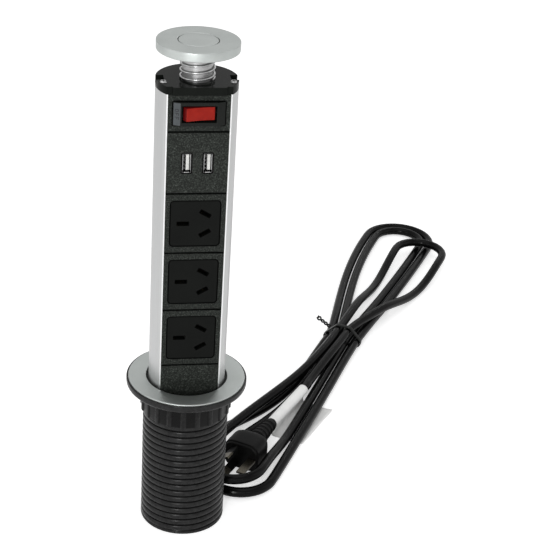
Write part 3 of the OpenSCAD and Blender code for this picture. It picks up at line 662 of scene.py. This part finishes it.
def make_screw_crosses():
    """A dark cross of painted shade in the head of each front screw of the end cap, for the shade in its recess.
    """
    top = high("end_cap_screws").z
    arm = ((CROSS_ARM, -CROSS_HALF_W), (CROSS_ARM, CROSS_HALF_W), (CROSS_HALF_W, CROSS_HALF_W))
    cross = [(a * c - b * s, a * s + b * c) for c, s in QUARTERS for a, b in arm]
    for x, name in ((-SCREW_X, "left"), (SCREW_X, "right")):
        rows = [[(x + a, SCREW_Y + b, z) for a, b in cross] for z in (top - CROSS_D, top + CROSS_PROUD)]
        fit(capped("screw_painted_shade_" + name, rows), "tower", "screw_steel", look="insert_black")


# Dark trims on the modules: where each starts and ends outside its opening, and how deep it goes
INSERT_SEAM, SLOT_MOUTH, EDGE_SEAM = (-0.55, 0.22, 0.2), (-0.03, 0.36, 0.2), (0.02, 0.75, 0.3)
TRIM_PROUD = 0.02
INSERT_LEDGE, INSERT_R = 1.2, 2.5
PIN_PITCH, PIN_TILT = 13.7, radians(30)
SLOT_L, SLOT_W, SLOT_R = 7.4, 2.4, 0.1
# Slots of an insert: across and up from its middle, and tilt
SLOTS = ((-7.9, 0, 0), (6.4, PIN_PITCH / 2, PIN_TILT), (6.4, -PIN_PITCH / 2, -PIN_TILT))


def dark_trim(name, band, face, half_w, half_h, radius, tilt=0):
    """A thin dark frame on a face, round a rounded rectangle that may be tilted."""
    start, end, depth = band
    c, s = cos(tilt), sin(tilt)
    rows = []
    for grow, proud in ((start, -depth), (start, TRIM_PROUD), (end, TRIM_PROUD), (end, -depth)):
        w, h, r = half_w + grow, half_h + grow, radius + grow
        loop = fillet([(-w, -h, r), (w, -h, r), (w, h, r), (-w, h, r)])
        rows.append([face + Vector((x * c + z * s, -proud, z * c - x * s)) for x, z in loop])
    fit(add_mesh(name, *skin(rows)), "tower", "insert_black", look="seam_and_painted_shade_black")


def make_insert_trims():
    """The dark seam round each socket insert and the dark lead-in round each of its slots."""
    for k in (1, 2, 3):
        near, far = low(f"socket_insert_{k}"), high(f"socket_insert_{k}")
        face = Vector((0, near.y, (near.z + far.z) / 2))
        half_w, half_h = far.x - INSERT_LEDGE, far.z - face.z - INSERT_LEDGE
        dark_trim(f"insert_seam_{k}", INSERT_SEAM, face, half_w, half_h, INSERT_R)
        for n, (x, z, tilt) in enumerate(SLOTS, 1):
            slot = face + Vector((x, 0, z))
            dark_trim(f"slot_mouth_{k}_{n}", SLOT_MOUTH, slot, SLOT_L / 2, SLOT_W / 2, SLOT_R, tilt)


SEAM_HALF_H, SEAM_ROOT, SEAM_D = 0.35, 0.1, 0.4


def make_module_seams():
    """The dark seam between each module frame and the next, which narrows inwards."""
    stack = sorted(MODULE_FRAMES, key=lambda name: low(name).z)
    for k, (under, over) in enumerate(zip(stack, stack[1:]), 1):
        z, x = (high(under).z + low(over).z) / 2, high(over).x
        face, root = low(over).y - TRIM_PROUD, low(over).y + SEAM_D
        section = [(face, -SEAM_HALF_H), (face, SEAM_HALF_H), (root, SEAM_ROOT), (root, -SEAM_ROOT)]
        rows = [[(side * x, y, z + rise) for y, rise in section] for side in (-1, 1)]
        fit(capped(f"module_seam_{k}", rows), "tower", "panel_black", look="seam_and_painted_shade_black")


# Charger ports: x is from the middle of one, y from its front, z from its lower end, ENDS from both its ends,
# and CONTACT_Z from a contact's own middle
PORT_W, PORT_PITCH, PORT_WALL, PORT_R = 5.7, 13.5, 0.4, 0.5
LIP_X, LIP_Y, LIP_Z, LIP_R = (-1.6, 1.6), (-0.15, 1.5), (0.1, 0.65), 0.2
PAINTED_SHADE_X, PAINTED_SHADE_Y, PAINTED_SHADE_Z = (-0.5, 1.7), (0.5, 0.75), (0.75, 1.7)
NEAR_STRIP_W, FAR_STRIP_W, STRIP_Y, STRIP_ENDS = 0.2, 0.3, (0.3, 1.6), (1.9, 0.8)
CONTACTS, CONTACT_Y, CONTACT_Z, CONTACT_ENDS = 4, (0.9, 1.3), (-0.3, 0.3), (3, 2)
CONTACT_FROM_WALL, CONTACT_FROM_MIDDLE = 0.3, 0.45


def span(at, reach):
    """The two ends of a reach that is measured from a place."""
    return at + reach[0], at + reach[1]


def port_block(name, xs, ys, zs, look):
    """A small straight piece in a port, between two places along each axis."""
    section = [(xs[0], ys[0]), (xs[1], ys[0]), (xs[1], ys[1]), (xs[0], ys[1])]
    rows = [[(x, y, z) for x, y in section] for z in zs]
    fit(capped(name, rows), "tower", "port_steel", look=look)


def make_ports():
    """In each charger port: a seam round it, a lip and a dark block of painted shade below, a strip of painted
    highlight on either side, and contacts.
    """
    z0, z1, front = low("usb_shells").z, high("usb_shells").z, low("usb_shells").y
    wall = PORT_W / 2 - PORT_WALL
    highlight_strips = (("near", (-wall, NEAR_STRIP_W - wall)), ("far", (wall - FAR_STRIP_W, wall)))
    strip_z = (z0 + STRIP_ENDS[0], z1 - STRIP_ENDS[1])
    contact_x = (CONTACT_FROM_WALL - wall, -CONTACT_FROM_MIDDLE)
    for side, name in ((-1, "left"), (1, "right")):
        x = side * PORT_PITCH / 2
        face = Vector((x, low("usb_frame").y, (z0 + z1) / 2))
        dark_trim("port_seam_" + name, EDGE_SEAM, face, PORT_W / 2, (z1 - z0) / 2, PORT_R)
        y_out, y_in = span(front, LIP_Y)
        z_low, z_high = span(z0, LIP_Z)
        lip = fillet([(y_in, z_high, 0), (y_out, z_high, LIP_R), (y_out, z_low, LIP_R), (y_in, z_low, 0)])
        rows = [[(end, y, z) for y, z in lip] for end in span(x, LIP_X)]
        fit(capped("port_lip_" + name, rows), "tower", "port_steel", look="painted_lit_steel")
        # Painted shade: a dark block between the lip and the tongue, where the port's inside lies in shade.
        port_block("port_painted_shade_" + name, span(x, PAINTED_SHADE_X), span(front, PAINTED_SHADE_Y), span(z0, PAINTED_SHADE_Z), "seam_and_painted_shade_black")
        # Painted highlight: a thin strip of the lit steel copy on each inner wall, for the light that falls there.
        for strip, reach in highlight_strips:
            port_block(f"port_strip_{name}_{strip}", span(x, reach), span(front, STRIP_Y), strip_z,
                       "painted_lit_steel")
        for k in range(CONTACTS):
            z = mix(z0 + CONTACT_ENDS[0], z1 - CONTACT_ENDS[1], k / (CONTACTS - 1))
            port_block(f"port_contact_{name}_{k + 1}", span(x, contact_x), span(front, CONTACT_Y),
                       span(z, CONTACT_Z), "port_steel")


# Rocker. Its outline is seen from above, before it tilts: slanted ends and a hollowed face
ROCKER_TILT = radians(10)
ROCKER_BELOW, ROCKER_ABOVE = 4.1, 4.65
ROCKER_HALF_L, ROCKER_FACE, ROCKER_BACK = 10.4, -4.6, 0.8
ROCKER_OUTLINE = ((-9.1, ROCKER_FACE, 0.4), (-ROCKER_HALF_L, -1.2, 0.3), (-2, ROCKER_BACK, 0.5),
                  (2, ROCKER_BACK, 0.5), (ROCKER_HALF_L, -1.2, 0.3), (9.1, ROCKER_FACE, 0.4), (0, -3.6, 60))
# Distance from the upper or lower end, and inset there
ROCKER_EDGE = ((0, 0.35), (0.12, 0.1), (0.4, 0))


def make_rocker():
    """The red rocker: a hollowed face, softened edges and some room above and below it in its window."""
    _, pivot_y, middle = (value / MM for value in JOINTS["rocker_tilt"]["pos_m"])
    levels = [(middle - ROCKER_BELOW + rise, inset) for rise, inset in ROCKER_EDGE]
    levels += [(middle + ROCKER_ABOVE - fall, inset) for fall, inset in ROCKER_EDGE[::-1]]
    y_mid, half_t = (ROCKER_BACK + ROCKER_FACE) / 2, (ROCKER_BACK - ROCKER_FACE) / 2
    c, s = cos(ROCKER_TILT), sin(ROCKER_TILT)
    rows = []
    for z, inset in levels:
        row = []
        for x, y in fillet(ROCKER_OUTLINE):
            x, y = x * (1 - inset / ROCKER_HALF_L), y_mid + (y - y_mid) * (1 - inset / half_t)
            row.append((x * c - y * s, x * s + y * c + pivot_y, z))
        rows.append(row)
    fit(capped("rocker_moulded", rows), "rocker", "rocker_red", "rocker")


# Switch bezel: the height of its edge over the panel, the length of its sloped end, its corners
BEZEL_EDGE, BEZEL_END, BEZEL_R = 0.5, 4.6, 0.6
# The field of painted sheen on the slope, then the word on it: margins, corners, and levels from below to above
# the slope
FIELD_START, FIELD_END, FIELD_SIDE, FIELD_R, FIELD_LEVELS = 0.3, 0.2, 0.4, 0.4, (-0.05, 0.08)
LETTER_H, LETTER_W, LETTER_BAR, LETTER_GAP, LETTER_LEVELS = 2.7, 1.9, 0.5, 0.7, (0.05, 0.14)
F_ARM, O_OUTSIDE, O_INSIDE, O_POINTS = 0.8, 2.6, 2.2, 32


def make_switch_marks():
    """The dark seam round the switch bezel, and a grey field of painted sheen with OFF on its sloped left end."""
    near, far = low("switch_housing"), high("switch_housing")
    panel_y, half_h = low("switch_frame").y, (far.z - near.z) / 2
    face = Vector((0, panel_y, (near.z + far.z) / 2))
    dark_trim("bezel_seam", EDGE_SEAM, face, far.x, half_h, BEZEL_R)
    foot = Vector((near.x, panel_y - BEZEL_EDGE, face.z))
    slope = Vector((near.x + BEZEL_END, near.y, face.z)) - foot
    length, across = slope.length, slope.normalized()
    out = across.cross(UP)

    def on_slope(outline, levels):
        return [[foot + across * a + UP * b + out * level for a, b in outline] for level in levels]

    start, end, side = FIELD_START, length - FIELD_END, half_h - FIELD_SIDE
    field = fillet([(a, b, FIELD_R) for a, b in ((start, -side), (end, -side), (end, side), (start, side))])
    fit(capped("off_painted_sheen", on_slope(field, FIELD_LEVELS)), "tower", "switch_black", look="off_painted_sheen")

    h, w, bar = LETTER_H, LETTER_W, LETTER_BAR
    outer, inner = oval(h / 2, w / 2, O_OUTSIDE, O_POINTS), oval(h / 2 - bar, w / 2 - bar, O_INSIDE, O_POINTS)
    outer, inner = ([(length / 2 + a, w + LETTER_GAP + b) for a, b in loop] for loop in (outer, inner))
    rows = on_slope(outer, LETTER_LEVELS) + on_slope(inner, LETTER_LEVELS[::-1])
    fit(add_mesh("off_mark_o", *skin(rows)), "tower", "switch_black", look="off_letters")

    arm, arm_low, arm_high = w * F_ARM, (h - bar) / 2, (h + bar) / 2
    f_shape = [(0, 0), (0, bar), (arm_low, bar), (arm_low, arm), (arm_high, arm), (arm_high, bar),
               (h - bar, bar), (h - bar, w), (h, w), (h, 0)]
    for name, start in (("off_mark_f", -w / 2), ("off_mark_f_2", w / 2 + LETTER_GAP)):
        letter = [((length - h) / 2 + a, -start - b) for a, b in f_shape]
        fit(capped(name, on_slope(letter, LETTER_LEVELS)), "tower", "switch_black", look="off_letters")


# Sleeve. The groove's section is height from its middle and share of its depth
THREAD_R, THREAD_PITCH, GROOVE_D, GROOVE_Z = 29.5, 4.9, 1.2, 3.6
GROOVE = ((-2.45, 0), (-2.1, 0.02), (-1.75, 0.08), (-1.4, 0.19), (-1.1, 0.34), (-0.85, 0.54), (-0.65, 0.8),
          (-0.55, 1), (0.45, 1), (0.6, 0.5), (0.8, 0.15), (1.1, 0), (2.45, 0))
THREAD_START, START_RUN, THREAD_END, END_RUN = 0.8, 1.6, 104, 3
LEAD_TURNS = 2
SLEEVE_BORE_R, COLLAR_R, COLLAR_D, TRIM_SEAT_R, FLANGE_T = 27.3, 28.7, 2, 40.1, 5.4
SLEEVE_SEGMENTS = 120
NOTCH_HALF_W, NOTCH_ARCH_Z, NOTCH_BELOW, NOTCH_Y, ARCH_STEPS = 5, 4.6, -2, (22, 34), 16


def make_sleeve():
    """The sleeve with its thread as a true helix, running out at both ends."""
    flange_r, z_top, z_seat = high("threaded_sleeve").x, high("threaded_sleeve").z, low("trim_ring").z
    z_flange, z_collar = z_top - FLANGE_T, z_seat - COLLAR_D
    turns = int(z_flange / THREAD_PITCH) + 1 + LEAD_TURNS
    rows = []
    for m in range(turns * SLEEVE_SEGMENTS + 1):
        middle = GROOVE_Z + THREAD_PITCH * (m / SLEEVE_SEGMENTS - LEAD_TURNS)
        row = []
        for dz, share in GROOVE:
            z = min(z_flange, max(0, middle + dz))
            cut = GROOVE_D * share * ease((z - THREAD_START) / START_RUN) * ease((THREAD_END - z) / END_RUN)
            row.append(polar(THREAD_R - cut, TURN * m / SLEEVE_SEGMENTS, z))
        rows.append(row)
    verts, faces = grid(rows)
    outline = fillet([
        (THREAD_R, z_flange, 0), (flange_r, z_flange, 2.4), (flange_r, z_top, 0.5),
        (TRIM_SEAT_R, z_top, 0.15), (TRIM_SEAT_R, z_seat, 0), (COLLAR_R, z_seat, 0), (COLLAR_R, z_collar, 0),
        (SLEEVE_BORE_R, z_collar, 0), (SLEEVE_BORE_R, 0, 0.3), (THREAD_R, 0, 0)])
    more, sides = skin([circle_row(r, z, SLEEVE_SEGMENTS) for r, z in outline], False)
    faces += [tuple(k + len(verts) for k in face) for face in sides]
    sleeve = add_mesh("sleeve_threaded", verts + more, faces)
    cut_notch(sleeve)
    fit(sleeve, "sleeve", "sleeve_black", "threaded_sleeve")


def cut_notch(sleeve):
    """The arch for the cord in the rear of the sleeve's lower rim."""
    angles = [pi * k / ARCH_STEPS for k in range(ARCH_STEPS + 1)]
    arch = [(-NOTCH_HALF_W, NOTCH_BELOW), (NOTCH_HALF_W, NOTCH_BELOW)]
    arch += [(NOTCH_HALF_W * cos(a), NOTCH_ARCH_Z + NOTCH_HALF_W * sin(a)) for a in angles]
    cutter = capped("notch_cutter", [[(x, y, z) for x, z in arch] for y in NOTCH_Y])
    step = sleeve.modifiers.new("notch", "BOOLEAN")
    step.object = cutter
    bpy.context.view_layer.update()
    mesh = bpy.data.meshes.new_from_object(sleeve.evaluated_get(bpy.context.evaluated_depsgraph_get()))
    sleeve.modifiers.clear()
    sleeve.data = mesh
    bpy.data.objects.remove(cutter)


# Springs
SPRING_GAP = 0.05


def make_spring(node, body, z0, z1, radius, turns, wire, start, sides):
    """A spring of round wire between two faces."""
    off = wire / 2 + SPRING_GAP
    line = spring_line(radius, z0 + off, z1 - off, turns, wire, start)
    spring = fit(sweep(node + "_wound", line, wire / 2, sides), body, "spring_steel", node)
    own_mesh(spring)


def make_springs():
    """The spring round the stem and the one under the button."""
    make_spring("cap_spring", "tower", high("top_end_cap").z, high("cap_stem").z,
                radius=10.7, turns=5, wire=1.2, start=radians(-35), sides=14)
    make_spring("button_spring", "cap", low("pull_cap").z + SPRING_SEAT_H,
                low("release_button").z, radius=3.3, turns=6, wire=0.7, start=0, sides=10)


# Mains cord: the lead's route in the part's frame, and the hank in its own (u along it, v across it)
CORD_D = 7.5
FLOOR_Z = CORD_D / 2 + 0.1
LAYER_Z = FLOOR_Z + CORD_D + 0.6
REST_Z = FLOOR_Z + 0.8
TIE_AT = (162, 227)
HANK_ANGLE = radians(61)
INNER, OUTER = 4.05, 12.15
TIE_LOW, TIE_HIGH = FLOOR_Z + 1.7, LAYER_Z + 1.7
NEAR_U, FAR_U, SHORT_U = 222, 212, 180
LEAD_U, LEAD_V = 203, -48
BOOT_U, BOOT_L, PLUG_L, PLUG_V = 161.5, 31, 22, -6.2
PLUG_SLANT = radians(5.8)
LABEL_U = 102
LINE_STEP, RUN_STEPS, FOLD_STEPS = 4, 12, 12


def on_hank(u, v, z):
    """A point in the hank's own frame: u along it from the tie, v across it, z up."""
    c, s = cos(HANK_ANGLE), sin(HANK_ANGLE)
    return Vector((TIE_AT[0] + u * c + v * s, TIE_AT[1] + u * s - v * c, z))


LEAD_ROUTE = [
    (0, 0, 56), (0, 0, 47), (0, 0, 38), (0, 1.7, 27.6), (0, 6.5, 18.1), (0, 14, 10.6), (0, 23.5, 5.6),
    (0, 34, FLOOR_Z), (1.2, 42.3, FLOOR_Z), (4.6, 49.9, FLOOR_Z), (9.9, 56.3, FLOOR_Z), (14.5, 61, FLOOR_Z)]

# Sides of the strands at the folds, then each strand from the near end, past the tie, to the far end.
# Near end: side, height on the way, height at the fold, length of the swing, lateness of the swing.
# Tie: side, height. Far end: side, height, length of the swing, dip on the way.
FAR_1, FAR_2, FAR_3 = (-42, 20), (-33.6, 11.6), (-4, 41)
NEAR_1, NEAR_2 = (17, -34.4), (8.6, -38)
PLUG_SIDE = PLUG_V + (BOOT_U - LABEL_U) * tan(PLUG_SLANT)
DIP = LAYER_Z - FLOOR_Z
OUT_1 = ((LEAD_V, FLOOR_Z, FLOOR_Z, LEAD_U - CORD_D, 2.5), (-OUTER, TIE_LOW), (FAR_1[0], FLOOR_Z, FAR_U, 0))
BACK_1 = ((NEAR_1[0], REST_Z, FLOOR_Z, NEAR_U, 0.8), (OUTER, TIE_LOW), (FAR_1[1], FLOOR_Z, FAR_U, 0))
OUT_2 = ((NEAR_1[1], FLOOR_Z, FLOOR_Z, NEAR_U, 2.2), (-INNER, TIE_LOW), (FAR_2[0], FLOOR_Z, FAR_U, 0))
BACK_2 = ((NEAR_2[0], REST_Z, LAYER_Z, NEAR_U, 0.8), (INNER, TIE_LOW), (FAR_2[1], FLOOR_Z, FAR_U, 0))
OUT_3 = ((NEAR_2[1], LAYER_Z, LAYER_Z, NEAR_U, 1.2), (-INNER, TIE_HIGH), (FAR_3[0], LAYER_Z, SHORT_U, DIP))
BACK_3 = ((PLUG_SIDE, LAYER_Z, LAYER_Z, LABEL_U, 1), (INNER, TIE_HIGH), (FAR_3[1], LAYER_Z, SHORT_U, DIP))

# Distances from the tie at which a strand leaves the tie's height and climbs to the near fold, then the
# lateness of the swing at the far end and the share of that way before the dip
LEAVE_AT, LEAVE_RUN, CLIMB_AT = 30, 60, 155
FAR_LATE, DIP_FROM = 0.7, 0.28


def left_tie(d):
    """0 at the tie's height, 1 where a strand has left it."""
    return ease((d - LEAVE_AT) / LEAVE_RUN)


def near_point(strand, d):
    (v, z_way, z_fold, reach, late), (v_tie, z_tie), _ = strand
    z = mix(mix(z_tie, z_way, left_tie(d)), z_fold, ease((d - CLIMB_AT) / (NEAR_U - CLIMB_AT)))
    return on_hank(-d, mix(v_tie, v, ease((d / reach) ** late)), z)


def far_point(strand, d):
    _, (v_tie, z_tie), (v, z, reach, dip) = strand
    down = dip * sin(pi * max(0, d / reach - DIP_FROM) / (1 - DIP_FROM)) ** 2
    return on_hank(d, mix(v_tie, v, ease((d / reach) ** FAR_LATE)), mix(z_tie, z, left_tie(d)) - down)


def run(strand, length):
    """One strand from its near end to its far end."""
    near = [near_point(strand, length * k / RUN_STEPS) for k in range(RUN_STEPS, -1, -1)]
    return near + [far_point(strand, strand[2][2] * k / RUN_STEPS) for k in range(1, RUN_STEPS + 1)]


def half_turn(sides, u, z, end):
    """A fold from one strand to the next: end 1 at the far end, -1 at the near end."""
    radius = (sides[1] - sides[0]) / 2
    return [on_hank(end * (u + abs(radius) * sin(a)), sides[0] + radius - radius * cos(a), z)
            for a in (pi * k / FOLD_STEPS for k in range(1, FOLD_STEPS))]


def cord_line():
    """The cord's centreline: down from the gland, along the floor, through the hank and into the plug."""
    lead = [Vector(p) for p in LEAD_ROUTE]
    lead += [on_hank(u, LEAD_V, FLOOR_Z) for u in (-LEAD_U - CORD_D, -LEAD_U)]
    hank = run(OUT_1, LEAD_U - CORD_D) + half_turn(FAR_1, FAR_U, FLOOR_Z, 1)
    hank += run(BACK_1, NEAR_U)[::-1] + half_turn(NEAR_1, NEAR_U, FLOOR_Z, -1)
    hank += run(OUT_2, NEAR_U) + half_turn(FAR_2, FAR_U, FLOOR_Z, 1)
    hank += run(BACK_2, NEAR_U)[::-1] + half_turn(NEAR_2, NEAR_U, LAYER_Z, -1)
    hank += run(OUT_3, NEAR_U) + half_turn(FAR_3, SHORT_U, LAYER_Z, 1)
    hank += run(BACK_3, LABEL_U)[::-1] + [on_hank(-BOOT_U, PLUG_V, LAYER_Z)]
    return smooth_line(lead + hank, LINE_STEP)


def make_cord(with_pieces):
    line = cord_line()
    data = bpy.data.curves.new("mains_cord", "CURVE")
    data.dimensions = "3D"
    data.bevel_depth = CORD_D / 2 * MM
    data.bevel_resolution = 5
    data.use_fill_caps = True
    spline = data.splines.new("POLY")
    spline.points.add(len(line) - 1)
    for point, at in zip(spline.points, line):
        point.co = (*(at * MM), 1)
    spline.use_smooth = True
    cord = add_object("mains_cord", data)
    fit(cord, "tower", "cord_black", "cord_lead", "cord_hank")


# Plug: a flaring boot with grooves that grow with it, and a squarish body with a stepped pin face
BOOT_R, BOOT_FLARE, RIBS, RIB_STEP = 4.75, 2.75, 5, 5
GROOVE_R, GROOVE_GROWTH = 4.6, 0.45
BODY_HALF_W, BODY_HALF_H, BODY_POWER = 14, LAYER_Z - 0.3, 4.4
PIN_W, PIN_T, PIN_COVER, LIVE_V = 6.3, 1.6, 9, 4.77


def on_plug(x, y, z):
    """A point in the plug's own frame: x along the cord away from the pins, z up."""
    c, s = cos(HANK_ANGLE - PLUG_SLANT), sin(HANK_ANGLE - PLUG_SLANT)
    return on_hank(-BOOT_U, PLUG_V, LAYER_Z) + Vector((x * c - y * s, x * s + y * c, z))


def round_stations(at, *steps):
    """Round sections of the boot from (distance past a place, radius) steps."""
    return [(at + x, radius, radius, 2) for x, radius in steps]


def make_plug():
    """The moulded plug, skinned over sections of (distance from the boot's thin end, half sizes, power)."""
    stations = round_stations(0, (0, 4.05), (0.4, 4.6), (1, 4.85))
    for k in range(RIBS):
        at, bottom = RIB_STEP * (k + 1), GROOVE_R + GROOVE_GROWTH * k
        rim = BOOT_R + BOOT_FLARE * at / BOOT_L
        stations += round_stations(at, (-0.5, rim + 0.1), (0, rim - 0.25), (0.25, bottom), (1.75, bottom),
                                   (2, rim - 0.15), (2.5, rim + 0.25))
    w, h, end = BODY_HALF_W, BODY_HALF_H, BOOT_L + PLUG_L
    stations += round_stations(BOOT_L, (-1.5, 7.5))
    stations += [(BOOT_L, 8.4, 8, 2.1), (BOOT_L + 0.8, 11.2, 9.8, 2.6), (BOOT_L + 2, 13, 10.9, 3.4),
                 (BOOT_L + 4, 13.8, 11.5, 4), (BOOT_L + 7, w, h, BODY_POWER)]
    stations += [(end - x, w - inset, h - inset, BODY_POWER)
                 for x, inset in ((4, 0), (2.4, 0.1), (2, 0.5), (1.9, 1), (0.5, 1.1), (0, 1.6))]
    rows = [[on_plug(-x, a, b) for a, b in oval(*section)] for x, *section in stations]
    plug = fit(capped("plug_moulded", rows, crisp=30), "tower", "plug_black", "plug_body")
    return [plug] + [make_pin_cover(side) for side in (-1, 1)]


def make_pin_cover(side):
    """The black sleeve on the root of a slanted pin."""
    c, s = cos(side * PIN_TILT), sin(side * PIN_TILT)
    rows = []
    for out, grow in ((-0.5, 0.06), (PIN_COVER - 0.5, 0.06), (PIN_COVER - 0.1, 0.02), (PIN_COVER, -0.1)):
        section = oval(PIN_W / 2 + grow, PIN_T / 2 + grow, 8, 32)
        x, z = -BOOT_L - PLUG_L - out, side * PIN_PITCH / 2
        rows.append([on_plug(x, LIVE_V - a * c + b * s, z + a * s + b * c) for a, b in section])
    name = "pin_cover_low" if side < 0 else "pin_cover_high"
    return fit(capped(name, rows), "tower", "plug_black")


# Label: its gap to the cord and the plug, its thickness, and where its flag lies and lifts into a slight wave
LABEL_GAP, LABEL_ENDS, PAPER_T, WRAP_STEPS, LABEL_STEPS = 0.4, 1, 0.3, 40, 33
FLAG_Z, FLAG_LIFT, WAVE, WAVE_RATE, LIFT_AT, LIFT_RUN = 0.5, 0.9, 0.25, 0.21, 21, 6


def make_label():
    """The bare paper label: once round the cord, then its free end under the two strands beside it."""
    wrap = CORD_D / 2 + LABEL_GAP
    down = LAYER_Z - FLAG_Z
    angles = [TURN * k / WRAP_STEPS for k in range(WRAP_STEPS)]
    section = [(wrap * sin(a), -wrap * cos(a)) for a in angles]
    section += [(-0.1, -wrap), (-0.25, -wrap - 2.5), (-0.4, 2 - down), (-0.8, 0.7 - down), (-1.8, -down)]
    section += [(-x, -down) for x in range(5, 28, 2)]
    length = BOOT_U - LABEL_U - 2 * LABEL_ENDS
    rows = []
    for i in range(LABEL_STEPS + 1):
        x = LABEL_ENDS + length * i / LABEL_STEPS
        lift = FLAG_LIFT + WAVE * sin(WAVE_RATE * x)
        rows.append([on_plug(x, y, z + lift * ease((-y - LIFT_AT) / LIFT_RUN)) for y, z in section])
    label = add_mesh("label_bare", *grid(rows), crisp=60)
    thick = label.modifiers.new("paper", "SOLIDIFY")
    thick.thickness = PAPER_T * MM
    thick.offset = 0
    return fit(label, "tower", "label_paper", "cord_label")


# Tie: a flat band, and its two ends, twisted round each other and spread at the tip
BAND_HALF_W, BAND_HALF_T, BAND_GAP, BAND_STEPS = 2.2, 0.42, 0.7, 96
TWIST_L, TWIST_LEAN, TWIST_TURNS, TWIST_STEPS = 13.5, radians(30), 2, 36
TWIST_R, TWIST_WIRE_R, TIP_SPREAD, TIP_FROM = 0.95, 0.72, 1.6, 0.75


def make_tie():
    """A flat twist tie round the waist of the hank, its two ends twisted together."""
    middle = on_hank(0, 0, 0)
    along, across = on_hank(1, 0, 0) - middle, on_hank(0, 1, 0) - middle
    cords = [Vector((s * side, z)) for s in (-1, 1) for side, z in ((OUTER, TIE_LOW), (INNER, TIE_HIGH))]
    rows = []
    for k in range(BAND_STEPS):
        out = Vector((cos(TURN * k / BAND_STEPS), sin(TURN * k / BAND_STEPS)))
        at = max(cords, key=lambda cord: cord.dot(out)) + (CORD_D / 2 + BAND_GAP) * out
        row = []
        for a, b in oval(BAND_HALF_W, BAND_HALF_T, 3.5, 16):
            point = at + b * out
            row.append(middle + across * point.x + along * a + UP * point.y)
        rows.append(row)
    band = fit(add_mesh("tie_band", *skin(rows), crisp=50), "tower", "tie_black", "cord_tie")
    start = on_hank(0, -OUTER, TIE_HIGH + 0.9)
    c, s = cos(TWIST_LEAN), sin(TWIST_LEAN)
    away, over = s * UP - c * across, c * UP + s * across
    ends = []
    for turn in (0, pi):
        line = []
        for k in range(TWIST_STEPS + 1):
            t = k / TWIST_STEPS
            a = turn + TWIST_TURNS * TURN * t
            spread = TWIST_R + TIP_SPREAD * ease((t - TIP_FROM) / (1 - TIP_FROM))
            line.append(start + away * TWIST_L * t + spread * (cos(a) * along + sin(a) * over))
        ends.append(fit(sweep(f"tie_end_{len(ends)}", line, TWIST_WIRE_R, 8), "tower", "tie_black"))
    return [band] + ends


# Stage and light, in metres and watts
FLOOR_HALF = 3
FLOOR_GLOW, GLOSSY_SHARE = 0.5, 0.4
# The room's brightness from below to above
ROOM = ((0.0, 0.45), (0.25, 0.75), (0.55, 0.7), (1.0, 0.4))
# Place, aim, width and height, power
LAMPS = {
    "front_key": ((-0.5, -1.25, 0.62), (0, 0, 0.25), (0.14, 0.9), 7),
    "left_fill": ((-1.2, -0.3, 0.6), (0, 0, 0.2), (0.5, 1.2), 1.5),
    "right_fill": ((1.2, -0.1, 0.6), (0, 0, 0.2), (0.5, 1.2), 0.8),
    "top_soft": ((0, 0.1, 1.6), (0, 0, 0), (1.2, 1.2), 4),
    "front_band": ((0, -1.4, 0.5), (0, 0, 0.1), (1.6, 0.05), 1.5),
    "back_strip": ((0.75, 1.35, 1.0), (0.12, 0.18, 0), (0.03, 0.7), 0.6),
}


def make_stage():
    """A pale floor that the camera sees brighter, and gloss in part, while it keeps the object's shadow."""
    mesh = bpy.data.meshes.new("floor")
    corners = ((-1, -1), (1, -1), (1, 1), (-1, 1))
    mesh.from_pydata([(FLOOR_HALF * x, FLOOR_HALF * y, 0) for x, y in corners], [], [(0, 1, 2, 3)])
    floor = add_object("floor", mesh)
    look = Look("floor", Base_Color=(0.86, 0.86, 0.86, 1), Roughness=0.8, Specular_IOR_Level=0.1)
    plain = look.shader.outputs[0]
    rays = look.node("LightPath").outputs
    seen = look.node("Math", {0: rays["Is Glossy Ray"], 1: GLOSSY_SHARE, 2: rays["Is Camera Ray"]},
                     operation="MULTIPLY_ADD")
    glow = look.node("Emission", {"Strength": FLOOR_GLOW})
    both = look.node("AddShader", {0: plain, 1: glow.outputs[0]})
    shown = look.node("MixShader", {0: seen.outputs[0], 1: plain, 2: both.outputs[0]})
    look.feed(look.tree.nodes["Material Output"].inputs["Surface"], shown.outputs[0])
    mesh.materials.append(look.material)


def make_world():
    """A soft grey room that lights the object, and white where the camera looks past it."""
    world = bpy.data.worlds.new("studio")
    SCENE.world = world
    world.use_nodes = True
    world.node_tree.nodes.clear()
    nodes = Nodes(world.node_tree)
    where = nodes.node("TexCoord").outputs["Generated"]
    height = nodes.node("SeparateXYZ", {0: where}).outputs["Z"]
    room = nodes.node("Background", {"Color": nodes.ramp(height, *ROOM)})
    white = nodes.node("Background", {"Color": (1, 1, 1, 1)})
    seen = nodes.node("LightPath").outputs["Is Camera Ray"]
    shown = nodes.node("MixShader", {0: seen, 1: room.outputs[0], 2: white.outputs[0]})
    nodes.node("OutputWorld", {"Surface": shown.outputs[0]})


def make_lamp(name, at, towards, size, power):
    data = bpy.data.lights.new(name, "AREA")
    data.shape = "RECTANGLE"
    data.size, data.size_y = size
    data.energy = power
    lamp = add_object(name, data)
    lamp.location = at
    lamp.rotation_mode = "QUATERNION"
    lamp.rotation_quaternion = (Vector(towards) - Vector(at)).to_track_quat("-Z", "Y")


SCENE.view_settings.view_transform = "Standard"
make_camera()
make_looks()
dress_nodes()
make_trim_ring()
make_pull_cap()
make_button()
make_nut()
make_sleeve()
make_springs()
make_screw_crosses()
make_insert_trims()
make_module_seams()
make_ports()
make_rocker()
make_switch_marks()
make_cord([*make_plug(), make_label(), *make_tie(), NODES["plug_pins"]])
make_stage()
make_world()
for lamp_name, settings in LAMPS.items():
    make_lamp(lamp_name, *settings)
